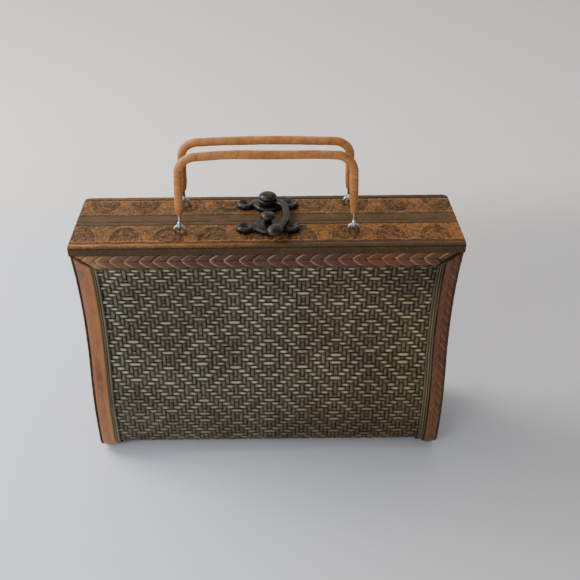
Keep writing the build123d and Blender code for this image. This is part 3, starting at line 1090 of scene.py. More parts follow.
@dataclass(frozen=True)
class WovenSkin:
    """The woven panel of a tray: upright warps and level wefts that make nested diamonds."""

    tray: Tray
    pitch: float = 2.35
    half_width: float = 98.6
    growth: float = -3.45
    start: float = 2.0
    centre_x: float = 0.6
    centre_height: float = 27.0
    repeat: int = 16
    lift: float = 0.33
    dip: float = 0.04
    arch: float = 0.06
    warp_width: float = 2.25
    weft_width: float = 2.1
    thickness: float = 0.6
    hold: float = 0.27
    edge_room: float = 0.55
    drift: float = 0.11
    swell: float = 0.09
    shade_sheet_growth: float = -4.22
    shade_sheet_gap: float = 0.3
    shade_sheet_thickness: float = 0.1

    def weft_over(self, column: np.ndarray, line: np.ndarray) -> np.ndarray:
        """Whether the weft lies on top where a column and a line of the weave cross.

        Args:
            column: number of the warp.
            line: number of the weft.

        Returns:
            True where the weft is on top.
        """
        half = self.repeat // 2
        ring = np.abs(column % self.repeat - half) + np.abs(line % self.repeat - half)
        return (ring + 3) % 4 < 2

    def crossings(self, low: float, high: float, centre: float) -> tuple[np.ndarray, np.ndarray]:
        """Finds the strands that lie between two edges.

        Args:
            low: the lower edge.
            high: the upper edge.
            centre: a place where a strand lies in the middle of a diamond.

        Returns:
            Their places, and their numbers in the pattern.
        """
        first = math.ceil((low - centre) / self.pitch + self.edge_room)
        last = math.floor((high - centre) / self.pitch - self.edge_room)
        numbers = np.arange(first, last + 1)
        return centre + numbers * self.pitch, numbers + self.repeat // 2

    def strands(self, upright: bool, seed: int) -> Mesh:
        """Builds all the warps or all the wefts.

        Args:
            upright: true for the warps.
            seed: seed of the small irregularities.

        Returns:
            The mesh, bent on to the face.
        """
        tray = self.tray
        end = tray.length(self.growth, self.start)
        middle = tray.run_at(self.centre_height, self.growth, self.start)
        columns = self.crossings(-self.half_width, self.half_width, self.centre_x)
        lines = self.crossings(0, end, middle)
        own, own_numbers = columns if upright else lines
        other, other_numbers = lines if upright else columns
        low, high = (0, end) if upright else (-self.half_width, self.half_width)
        rack = Rack(len(own), 2 * len(other) + 2, 8)
        hold = self.hold * self.pitch
        places = np.concatenate([[low], np.stack([other - hold, other + hold], 1).ravel(), [high]])
        along = places[rack.row]
        met = np.clip((np.arange(rack.rows) - 1) // 2, 0, len(other) - 1)
        own_number, other_number = own_numbers[rack.tube], other_numbers[met][rack.row]
        if upright:
            over = ~self.weft_over(own_number, other_number)
        else:
            over = self.weft_over(other_number, own_number)
        keys = rack.tube * (rack.rows + 2) + rack.row + 1
        held = np.zeros(rack.count * (rack.rows + 2), dtype=bool)
        held[keys] = over
        inner = np.where(held[keys - 1] & held[keys + 1], 1.0, 0.0)
        drift = smooth_noise(along / 17 + 31.7 * rack.tube, seed)
        swell = smooth_noise(along / 6 + 11.3 * rack.tube, seed + 1)
        side = boxy(rack.across, 0.6)
        width = self.warp_width if upright else self.weft_width
        girth = width / 2 * (1 + self.swell * swell) * np.where(over, 0.9 + 0.1 * inner, 0.86)
        offset = own[rack.tube] + self.drift * drift + side * girth
        level = np.where(over, self.lift + self.arch * inner - self.dip, -self.lift)
        rise = level + rack.up * self.thickness / 2 + 0.03 * swell
        x, run = (offset, along) if upright else (along, offset)
        settle(rack.mesh, tray.bend(x, run, rise, self.growth, self.start))
        shade = np.random.default_rng(seed + 2).uniform(0, 1, len(own))[rack.tube]
        local = smooth_noise(along / 9 + 7.9 * rack.tube, seed + 3)
        write_mark(rack.mesh, Mark.TONE, 0.5 + 0.42 * (shade - 0.5) + 0.3 * local)
        # Painted shade mark: low where a strand dips under the other set and on its sides, high on top of a
        # float.
        light = np.where(over, 0.62, 0.12) + 0.36 * rack.up * over - 0.1 * np.abs(side)
        write_mark(rack.mesh, Mark.RISE, light)
        # Painted highlight mark: along the top of each float, strongest in its middle.
        crest = over * np.clip(rack.up, 0, 1) * (1 - 0.6 * np.abs(rack.across)) ** 2
        write_mark(rack.mesh, Mark.CREST, crest * (0.3 + 0.7 * inner))
        return rack.mesh

    def shade_sheet(self) -> Mesh:
        """Makes the thin closed sheet of painted shade behind the strands.

        Returns:
            The sheet, bent on to the face.
        """
        tray = self.tray
        end = tray.length(self.shade_sheet_growth, self.start) - self.shade_sheet_gap
        low, high = (-self.half_width, self.shade_sheet_gap), (self.half_width, end)
        sheet = flat_sheet(low, high, (1, 110), self.shade_sheet_thickness)
        settle(sheet, tray.bend(*read_points(sheet).T, self.shade_sheet_growth, self.start))
        return sheet

    def build(self, finishes: dict[str, Material]) -> None:
        """Builds the warps, the wefts and the dark sheet of painted shade behind them as three pieces.

        Args:
            finishes: the mixed finishes.
        """
        tray = self.tray
        hand = Finished(tray.body, (f"{tray.name}_woven_panel",), "woven_strips")
        seed = 100 if tray.in_front else 200
        hand.add(f"{tray.name}_warps", self.strands(True, seed), finishes["dark_warp"])
        hand.add(f"{tray.name}_wefts", self.strands(False, seed + 50), finishes["pale_weft"])
        hand.add(f"{tray.name}_lining", self.shade_sheet(), finishes["shade_sheet_cloth"], 40)


@dataclass(frozen=True)
class Trims:
    """The plaits and strips that frame the woven skin."""

    tray: Tray
    half_width: float = 100.0
    border: float = 11.8
    braid_height: float = 11.0
    growth: float = -2.6
    start: float = 3.0
    strip_gap: float = 0.15
    leaf_thickness: float = 0.26
    leaf_tilt: float = 0.26
    wide_strip: float = 3.2

    @property
    def top_run(self) -> tuple[float, float]:
        """Where the top plait lies.

        Returns:
            Distances along the face to its lower and upper edge.
        """
        tray = self.tray
        low = tray.run_at(tray.top - self.braid_height, self.growth, self.start)
        return low, tray.length(self.growth, self.start)

    def strip(self, node: str) -> tuple[float, float]:
        """Left and right side of a strip's CAD node, in millimetres."""
        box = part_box(node)
        return box[0].x / MM, box[1].x / MM

    def mitre(self, x: np.ndarray) -> np.ndarray:
        """Height at which a side strip stops under the top plait.

        Args:
            x: places across the bag.

        Returns:
            The height at each place.
        """
        inner = self.half_width - self.border
        slope = self.braid_height / self.border
        return self.tray.top - self.braid_height + np.clip(np.abs(x) - inner, 0, self.border) * slope

    def end_run(self, x: np.ndarray) -> np.ndarray:
        """Distance along the face at which a side strip stops."""
        run, _, height, _, _ = self.tray.curve(self.growth, self.start)
        return np.interp(self.mitre(x) - self.strip_gap, height, run)

    def top_limit(self, run: np.ndarray, gap: float) -> np.ndarray:
        """How far from the middle the top plait reaches, less a gap, at a distance along the face."""
        low, high = self.top_run
        return self.half_width - gap - (high - run) * self.border / (high - low)

    def lay(self, mesh: Mesh, x: np.ndarray, run: np.ndarray, rise: np.ndarray) -> None:
        """Bends flat work on to the face: places across, distances along the face and heights over it."""
        settle(mesh, self.tray.bend(x, run, rise, self.growth, self.start))

    def leaves(
        self, places: np.ndarray, ways: np.ndarray, path: Callable[..., tuple], width: float, bed: float,
        seed: int,
    ) -> Mesh:
        """Builds the leaves of a plait.

        Args:
            places: place of each leaf along the plait.
            ways: 1 or -1 for the side of the plait that each one lies on.
            path: gives a leaf's middle line and lift from its place, side and share of its length.
            width: width of a leaf, measured along the plait.
            bed: height of the leaves' middle.
            seed: seed of its irregularities.

        Returns:
            A mesh whose points are place along, place across and rise, with its marks written.
        """
        rack = Rack(len(places), 9, 8)
        random = np.random.default_rng(seed)
        tone = random.uniform(0, 1, len(places))[rack.tube]
        along, across, lift = path(places[rack.tube], ways[rack.tube], rack.share)
        taper = np.clip(np.minimum(rack.share + 0.12, 1.06 - rack.share) * 5, 0.0, 1.0) ** 0.6
        half = width / 2 * taper * (1 + 0.1 * random.uniform(-1, 1, len(places))[rack.tube])
        body = self.leaf_thickness * rack.up * (0.5 + 0.5 * taper)
        rise = bed + lift + body - self.leaf_tilt * rack.across
        write_mark(rack.mesh, Mark.TONE, tone)
        # Painted highlight mark: one edge of each leaf is marked to be lit.
        write_mark(rack.mesh, Mark.EDGE, np.clip(-rack.across, 0, 1) * (rack.up > -0.1))
        # Painted shade mark: the leaves' undersides are marked to be darkened.
        write_mark(rack.mesh, Mark.RISE, 0.5 + 0.5 * rack.up)
        write_points(rack.mesh, np.stack([along + rack.across * half, across, rise], axis=1))
        return rack.mesh

    def top_leaves(self) -> Mesh:
        """Makes the leaves of the top plait, their points to the left.

        Returns:
            The leaves, bent on to the face.
        """
        low, high = self.top_run
        pitch, lead = 7.3, 5.4
        middle, half = (low + high) / 2 + 0.45, (high - low) / 2 - 0.55
        count = int(2 * self.half_width / pitch) + 1
        spots = np.repeat(-self.half_width - 1.0 + pitch * np.arange(count), 2)
        ways = np.tile([1.0, -1.0], count)
        span = self.half_width - self.border * 0.5
        keep = np.abs(spots + lead / 2 + 1.5) < span + np.where(ways > 0, 5.0, -2.0)

        def path(place: np.ndarray, way: np.ndarray, share: np.ndarray) -> tuple:
            """Middle line of a leaf: out from the centre of the plait and to the right."""
            reach = 0.03 + 0.97 * share
            bow = 0.5 * np.sin(share * math.pi)
            return place + 2.2 + lead * share - bow, middle + way * half * reach, 0.16 * (1 - share) * way

        mesh = self.leaves(spots[keep], ways[keep], path, width=8.2, bed=1.15, seed=300 + self.tray.sign)
        along, run, rise = read_points(mesh).T
        limit = self.top_limit(run, 1.35)
        self.lay(mesh, np.clip(along, -limit, limit), run, rise)
        return mesh

    def top_ground(self) -> Mesh:
        """Makes the ground that the top plait lies on.

        Returns:
            The ground, bent on to the face.
        """
        low, high = self.top_run
        sheet = flat_sheet((-self.half_width, low), (self.half_width, high), (8, 8), 0.75)
        x, run, rise = read_points(sheet).T
        self.lay(sheet, x / self.half_width * self.top_limit(run, 1.25), run, rise)
        return sheet

    def top_cord(self) -> Mesh:
        """Makes the twisted cord under the top plait.

        Returns:
            The cord, bent on to the face.
        """
        low, _ = self.top_run
        rack = Rack(1, 260, 10)
        reach = self.half_width - self.border - 0.6
        along = (2 * rack.share - 1) * reach
        twist = np.sin(along / 1.05 + np.arctan2(rack.up, rack.across))
        run = low + 0.55 + rack.across * (0.52 + 0.05 * twist)
        self.lay(rack.mesh, along, run, 1.0 + rack.up * (0.6 + 0.05 * twist))
        write_mark(rack.mesh, Mark.CARVE, 0.5 - 0.5 * twist)
        return rack.mesh

    def top_plait(self, finishes: dict[str, Material]) -> None:
        """Builds the chevron plait across the top of the face, its ground and the cord under it.

        Args:
            finishes: the mixed finishes.
        """
        tray = self.tray
        hand = Finished(tray.body, (f"{tray.name}_top_braid",), "plaited_trim")
        hand.add(f"{tray.name}_top_plait", self.top_leaves(), finishes["top_plait"])
        hand.add(f"{tray.name}_top_ground", self.top_ground(), finishes["dark_ground"], 40)
        hand.add(f"{tray.name}_top_cord", self.top_cord(), finishes["edging_cord"])

    def side_plait(self, side: Side, finishes: dict[str, Material]) -> None:
        """Builds a narrow plait down one side, of steep leaves that point up.

        Args:
            side: which side.
            finishes: the mixed finishes.
        """
        tray = self.tray
        name = f"{tray.name}_{side.value}"
        low_x, high_x = self.strip(f"{name}_strip")
        middle, half = (low_x + high_x) / 2, (high_x - low_x) / 2
        pitch, lead = 5.8, 5.0
        count = int(tray.length(self.growth, self.start) / pitch)
        spots = np.repeat(1.2 + pitch * np.arange(count), 2)
        ways = np.tile([1.0, -1.0], count)

        def path(place: np.ndarray, way: np.ndarray, share: np.ndarray) -> tuple:
            """Middle line of a leaf: up from the edge of the plait to its centre."""
            spread = 0.95 - np.where(way < 0, 0.95, 1.12) * share
            return place + 1.0 + lead * share, middle + way * half * spread, 0.16 * (share - 0.5) - 0.08 * way

        mesh = self.leaves(spots, ways, path, width=6.6, bed=1.8, seed=340 + len(side.value) + tray.sign)
        along, x, rise = read_points(mesh).T
        self.lay(mesh, x, np.clip(along, 0.3, self.end_run(x)), rise)
        hand = Finished(tray.body, (f"{name}_strip",), "plaited_trim")
        hand.add(f"{name}_plait", mesh, finishes["side_plait"])
        sheet = flat_sheet((low_x, 0.0), (high_x, 1.0), (2, 90), 1.4)
        x, share, rise = read_points(sheet).T
        self.lay(sheet, x, share * self.end_run(x), rise)
        hand.add(f"{name}_ground", sheet, finishes["dark_ground"], 40)

    def bare_strip(self, side: Side, material: Material) -> None:
        """Builds a smooth crowned strip of bark down one side.

        Args:
            side: which side.
            material: its finish.
        """
        name = f"{self.tray.name}_{side.value}"
        low_x, high_x = self.strip(f"{name}_strip")
        rack = Rack(1, 170, 28)
        across = boxy(rack.across, 0.55)
        x = (low_x + high_x) / 2 + across * (high_x - low_x) / 2
        run = rack.share * self.end_run(x)
        wave = plane_noise(run / 9, x / 3, 401)
        fine = plane_noise(run / 2.2, x / 1.1, 402)
        top = 2.0 + 0.45 * (1 - across**2) + 0.08 * wave + 0.04 * fine
        self.lay(rack.mesh, x + 0.08 * wave, run, np.where(rack.up > 0, np.abs(rack.up) ** 0.45 * top, 0.02))
        inward = (high_x - x) if x.mean() > 0 else (x - low_x)
        write_mark(rack.mesh, Mark.EDGE, inward / (high_x - low_x))
        hand = Finished(self.tray.body, (f"{name}_strip",), "bare_strip")
        hand.add(f"{name}_bark", rack.mesh, material)

    def thin_strands(self, side: Side, material: Material) -> None:
        """Builds the thin dark strands between a side strip and the woven skin.

        Args:
            side: which side.
            material: their finish.
        """
        name = f"{self.tray.name}_{side.value}"
        low_x, high_x = self.strip(f"{name}_inner_strip")
        count = 3 if high_x - low_x > self.wide_strip else 2
        width = (high_x - low_x) / count
        rack = Rack(count, 150, 8)
        x = low_x + (rack.tube + 0.5) * width + rack.across * width * 0.49
        run = rack.share * self.end_run(x)
        wobble = smooth_noise(run / 13 + 5.1 * rack.tube, 420)
        self.lay(rack.mesh, x + 0.08 * wobble, run, 0.5 + 0.42 * rack.up + 0.08 * wobble)
        write_mark(rack.mesh, Mark.TONE, np.array([0.35, 0.7, 0.2])[rack.tube % 3] + 0.2 * wobble)
        # Painted shade mark: the strands' undersides are marked to be darkened.
        write_mark(rack.mesh, Mark.RISE, 0.55 + 0.45 * rack.up)
        hand = Finished(self.tray.body, (f"{name}_inner_strip",), "dark_strip")
        hand.add(f"{name}_strands", rack.mesh, material)


@dataclass(frozen=True)
class Spots:
    """Where the vertices of a top board lie, in millimetres."""

    x: np.ndarray
    depth: np.ndarray
    drop: np.ndarray
    margin: np.ndarray

    @property
    def surface(self) -> np.ndarray:
        """Whether each vertex belongs to the upper face."""
        return self.drop == 0


@dataclass(frozen=True)
class CarvedTop:
    """The top board of a tray: a tooled band between grooves, a beaded rim and the tongue under it."""

    tray: Tray
    half_width: float = 100.0
    top: float = 141.0
    thickness: float = 5.8
    step: float = 0.36
    half_gap: float = 0.25
    seam_corner: float = 1.2
    front_corner: float = 0.4
    back_corner: float = 4.0
    arch_pitch: float = 22.6
    arch_half: float = 7.3
    arch_height: float = 13.8
    front_shift: float = -4.4
    back_shift: float = 3.0
    groove: float = 0.5
    bead: float = 1.5
    tooling: float = 0.34
    outer: float = 0.1
    side_profile: tuple[tuple[float, float], ...] = (
        (1.3, 0.02), (1.6, 0.28), (1.85, 0.45), (2.15, 0.42), (2.45, 0.15), (3.2, 0.06), (4.1, 0.22),
        (4.9, 0.1), (5.8, 0.16),
    )

    @property
    def shift(self) -> float:
        """Place across the bag of the middle arch."""
        return self.front_shift if self.tray.in_front else self.back_shift

    def carving(self, x: np.ndarray, depth: np.ndarray) -> np.ndarray:
        """Depth of the tooling, 0 to 1, at places on the band.

        Args:
            x: place across the bag.
            depth: depth from the seam.

        Returns:
            Depth of the cut at each place.
        """
        tray = self.tray
        wobble = plane_noise(x / 5, depth / 5, 501 + tray.sign)
        number = np.rint((x - self.shift) / self.arch_pitch)
        across = (x - self.shift - number * self.arch_pitch) / self.arch_half
        up = (tray.rim_start - depth - 0.4) / self.arch_height
        ring = np.sqrt(across**2 + np.clip(up, 0, None) ** 2.2) + 0.05 * wobble
        broken = np.clip(0.75 + 0.7 * plane_noise(x / 2.4, depth / 2.4, 503 + tray.sign), 0.15, 1)
        lines = round_cut(ring - 1.0, 0.1) + 0.7 * round_cut(ring - 0.84, 0.07)
        lines = lines + 0.5 * round_cut(ring - 0.5, 0.08)
        stipple = np.clip(plane_noise(x / 0.75, depth / 0.75, 511) * 2.0 - 0.1, 0, 1)
        inner = np.clip((0.95 - ring) / 0.1, 0, 1)
        ground = 0.12 * inner + 0.6 * stipple * inner
        outer = across + np.sign(-across) * self.arch_pitch / self.arch_half / 2
        leaf = np.sqrt((outer / 0.42) ** 2 + ((up - 0.42) / 0.4) ** 2) + 0.08 * wobble
        sprig = 0.5 * round_cut(leaf - 1.0, 0.16) + 0.35 * round_cut(outer, 0.05) * (leaf < 0.9)
        curl = np.sqrt((np.abs(outer) - 0.55) ** 2 * 1.3 + ((up - 1.06) * 1.6) ** 2)
        sprig = sprig + 0.5 * round_cut(curl - 0.25, 0.08)
        fleck = np.clip(plane_noise(x / 0.9, depth / 0.9, 521) * 2.2 - 0.9, 0, 1) * 0.55
        inside = (depth > tray.edge + 0.8) & (depth < tray.rim_start - 0.5)
        return np.clip(lines * broken * (up > -0.02) + ground + sprig * broken + fleck, 0, 1) * inside

    def smoothness(self, x: np.ndarray, depth: np.ndarray) -> np.ndarray:
        """How worn smooth and orange the wood is, 0 to 1: most between the arches, near the rim.

        Args:
            x: place across the bag.
            depth: depth from the seam.

        Returns:
            The share at each place.
        """
        tray = self.tray
        across = (x - self.shift) / self.arch_pitch + 0.5
        across = np.abs(across - np.rint(across)) * self.arch_pitch
        up = (tray.rim_start - depth - 3.2) / 4.5
        spot = np.clip(1.2 - np.sqrt((across / 3.6) ** 2 + up**2), 0, 1)
        worn_end = 0.7 * np.clip(x / 60, 0, 1) * tray.in_front
        return np.maximum(spot * np.clip(0.6 + 0.8 * smooth_noise(x / 14, 561 + tray.sign), 0, 1), worn_end)

    def slab(self) -> Mesh:
        """Makes a fine flat grid with a skirt at each depth of the side's profile, closed underneath.

        Returns:
            The slab, from -1 to 1 across and in depth.
        """
        span = self.tray.depth - self.half_gap
        columns, rows = round(2 * self.half_width / self.step), round(span / self.step)
        bm = bmesh.new()
        bmesh.ops.create_grid(bm, x_segments=columns, y_segments=rows, size=1)
        rim = [edge for edge in bm.edges if edge.is_boundary]
        for drop, _ in self.side_profile:
            made = bmesh.ops.extrude_edge_only(bm, edges=rim)["geom"]
            for part in made:
                if isinstance(part, bmesh.types.BMVert):
                    part.co.z = -drop
            rim = [part for part in made if isinstance(part, bmesh.types.BMEdge)]
        bmesh.ops.triangle_fill(bm, edges=rim, use_beauty=True)
        return to_mesh(bm, "top")

    def spots(self, flat: np.ndarray) -> Spots:
        """Finds where the slab's vertices lie, with its corners rounded.

        Args:
            flat: the slab's vertices, from -1 to 1 across and in depth.

        Returns:
            Their places.
        """
        tray = self.tray
        near = self.seam_corner
        far = self.front_corner if tray.in_front else self.back_corner
        depth = self.half_gap + (flat[:, 1] * tray.sign + 1) / 2 * (tray.depth - self.half_gap)
        near_gap = np.clip(self.half_gap + near - depth, 0, near)
        far_gap = np.clip(depth - (tray.depth - far), 0, far)
        pull = near - np.sqrt(near**2 - near_gap**2) + far - np.sqrt(far**2 - far_gap**2)
        ends = (1 - np.abs(flat[:, 0])) * self.half_width
        margin = np.minimum(ends, np.minimum(depth - self.half_gap, tray.depth - depth))
        return Spots(flat[:, 0] * (self.half_width - pull), depth, -flat[:, 2], margin)

    def fall(self, at: Spots) -> np.ndarray:
        """How far the rounded edges and the grooves lie below the top.

        Args:
            at: where the vertices lie.

        Returns:
            The fall of each.
        """
        tray = self.tray
        rounding = np.where(tray.depth - at.depth < 1.2, 1.0, 0.55)
        inset = np.clip(rounding - at.margin, 0, None)
        fall = rounding - np.sqrt(np.clip(rounding**2 - inset**2, 0, None))
        past_rim = at.depth - tray.rim_start
        fall += self.groove * round_cut(past_rim, 0.6) + 0.4 * round_cut(at.depth - tray.edge, 0.5)
        fall += 0.3 * round_cut(past_rim - self.bead, 0.4) * tray.in_front
        return fall

    def push(self, at: Spots) -> np.ndarray:
        """How far the outer side is cut in: its profile, streaks of the tool and a few nicks.

        Args:
            at: where the vertices lie.

        Returns:
            The push of each, towards the seam.
        """
        tray = self.tray
        depths, pushes = np.array([(0.0, 0.0), *self.side_profile]).T
        sunk = np.interp(at.drop, depths, pushes)
        streak = 0.07 * smooth_noise(at.x / 4 + 40 * at.drop, 541)
        streak = streak + 0.05 * smooth_noise(at.x / 1.3 + 60 * at.drop, 543)
        push = np.where(at.surface, 0, sunk + np.abs(streak)) * (at.depth > tray.depth - self.outer)
        nick = np.clip(smooth_noise(at.x / 3.5, 547 + tray.sign) - 0.6, 0, 1) * (at.drop < 1.2)
        return push + 0.5 * nick * (at.depth > tray.depth - 1.0)

    def write_marks(self, mesh: Mesh, at: Spots, carve: np.ndarray) -> None:
        """Notes where the wood is cut, darkened, rubbed and worn.

        Args:
            mesh: the board.
            at: where its vertices lie.
            carve: depth of the tooling at each, 0 to 1.
        """
        tray = self.tray
        past_rim = at.depth - tray.rim_start
        grooves = 0.85 * round_cut(past_rim, 0.75) + 0.9 * round_cut(at.depth - tray.edge, 0.6)
        grooves += 0.6 * round_cut(past_rim - self.bead, 0.45) * tray.in_front
        line = 0.95 * round_cut(at.drop - 1.95, 0.45) + 0.45 * round_cut(at.drop - 4.1, 0.5)
        cuts = np.where(at.surface, np.maximum(carve, grooves), np.maximum(line, 0.04 * at.drop))
        write_mark(mesh, Mark.CARVE, cuts)
        face = np.clip((at.drop - 1.6) / 0.4, 0, 1)
        rim_tone = (0.1 if tray.in_front else 0.5) + 0.75 * np.clip(at.x / 60 + 0.85, 0, 1)
        rimmed = np.where(at.depth > tray.rim_start, rim_tone, 0.8 * (at.depth < tray.edge))
        write_mark(mesh, Mark.RIMMED, np.maximum(rimmed, face * 0.85))
        write_mark(mesh, Mark.SMOOTH, np.where(at.surface, self.smoothness(at.x, at.depth), 0))
        ridge = round_cut(past_rim + 1.0 + 0.35 * smooth_noise(at.x / 2.2, 551), 0.55)
        fade = np.clip(0.14 - at.x / 85, 0.03, 1) * (1.0 if tray.in_front else 0.3)
        bright = round_cut(past_rim - 2.9, 1.1) * fade * 1.05
        seam_edge = round_cut(at.depth - self.half_gap, 0.7) * 0.25
        nose = np.clip(1 - np.abs(at.drop - 0.6) / 0.9, 0, 1) * fade * (at.depth > tray.depth - self.outer)
        worn = np.maximum(np.maximum(ridge * 0.8, bright), seam_edge)
        write_mark(mesh, Mark.WORN, np.where(at.surface, worn, nose))

    def board(self) -> Mesh:
        """Makes the tooled board.

        Returns:
            The board, in place.
        """
        tray = self.tray
        mesh = self.slab()
        at = self.spots(read_points(mesh))
        fall = self.fall(at)
        carve = self.carving(at.x, at.depth)
        rough = 0.06 * plane_noise(at.x / 3, at.depth / 1.4, 531)
        rough = rough + 0.05 * plane_noise(at.x / 0.9, at.depth / 0.9, 533)
        height = self.top - at.drop
        height = np.where(at.surface, height - fall - self.tooling * carve + rough - 0.1, height)
        y = tray.seam_y + tray.sign * (at.depth - self.push(at))
        settle(mesh, np.stack([at.x, y, height], axis=1) * MM)
        self.write_marks(mesh, at, carve)
        return mesh

    def tongue(self) -> Mesh:
        """Cuts off the part of the CAD node that lies under the board.

        Returns:
            The tongue, in place.
        """
        bm = merged_copy(f"{self.tray.name}_top_board")
        level = (0, 0, (self.top - self.thickness + 0.02) * MM)
        geom = bm.verts[:] + bm.edges[:] + bm.faces[:]
        bmesh.ops.bisect_plane(bm, geom=geom, dist=1e-7, plane_co=level, plane_no=(0, 0, 1), clear_outer=True)
        bmesh.ops.holes_fill(bm, edges=bm.edges, sides=0)
        return to_mesh(bm, "tongue")

    def build(self, material: Material) -> None:
        """Builds the board and the tongue under it.

        Args:
            material: the tooled wood.
        """
        name = self.tray.name
        hand = Finished(self.tray.body, (f"{name}_top_board",), "carved_wood")
        hand.add(f"{name}_carved_top", self.board(), material, 50)
        hand.add(f"{name}_tongue", self.tongue(), material, 30)


@dataclass(frozen=True)
class EndBoard:
    """A board that closes one end of a tray, worn round its edge, with a tooled outer face."""

    tray: Tray
    side: Side
    voxel: float = 0.75
    face_x: float = 99.2
    foot: float = 3.0
    arch_pitch: float = 19.0
    tooled: float = 6.6

    def build(self, material: Material) -> None:
        """Builds the board.

        Args:
            material: its finish.
        """
        tray = self.tray
        node = f"{tray.name}_{self.side.value}_end_board"
        mesh = skinned(merged_copy(node), self.voxel, 1)
        points = read_points(mesh) / MM
        outward = -1.0 if self.side is Side.LEFT else 1.0
        depth = tray.sign * (points[:, 1] - tray.seam_y)
        height = points[:, 2]
        _, depths, heights, _, _ = tray.curve(-0.8, 0.0)
        wall_starts = len(heights) // 6
        wall = np.interp(height, heights[wall_starts:], depths[wall_starts:])
        margin = np.minimum.reduce([wall - depth, height - self.foot, depth, tray.top - height])
        face = np.clip((points[:, 0] * outward - self.face_x) / 0.5, 0, 1)
        line = round_cut(margin - 3.6, 0.75) + round_cut(margin - 5.4, 0.6)
        wobble = plane_noise(depth / 2.0, height / 2.0, 601)
        stipple = np.clip(plane_noise(depth / 1.5, height / 1.5, 611) * 1.8 - 0.3, 0, 1) * (margin > 6.5)
        arch = (height % self.arch_pitch) / self.arch_pitch * 2 - 1
        scale = np.sqrt((arch * 1.15) ** 2 + ((depth - wall / 2) / (wall / 2 - self.tooled)) ** 2)
        ring = round_cut(scale - 0.95, 0.12) * (margin > 6.2)
        carve = np.clip(line + ring + 0.55 * stipple * (scale < 0.8), 0, 1)
        points[:, 0] -= outward * face * (0.4 * carve + 0.1 * np.abs(wobble))
        edge = np.clip(1 - margin / 2, 0, 1)
        points[:, 1] += 0.12 * wobble * edge * tray.sign
        write_points(mesh, points * MM)
        write_mark(mesh, Mark.CARVE, np.maximum(face * carve, 0.5 * edge * np.clip(wobble, 0, 1)))
        hand = Finished(tray.body, (node,), "end_wood")
        hand.add(f"{tray.name}_{self.side.value}_end", mesh, material, 60)


# ---------------------------------------------------------------- the handles


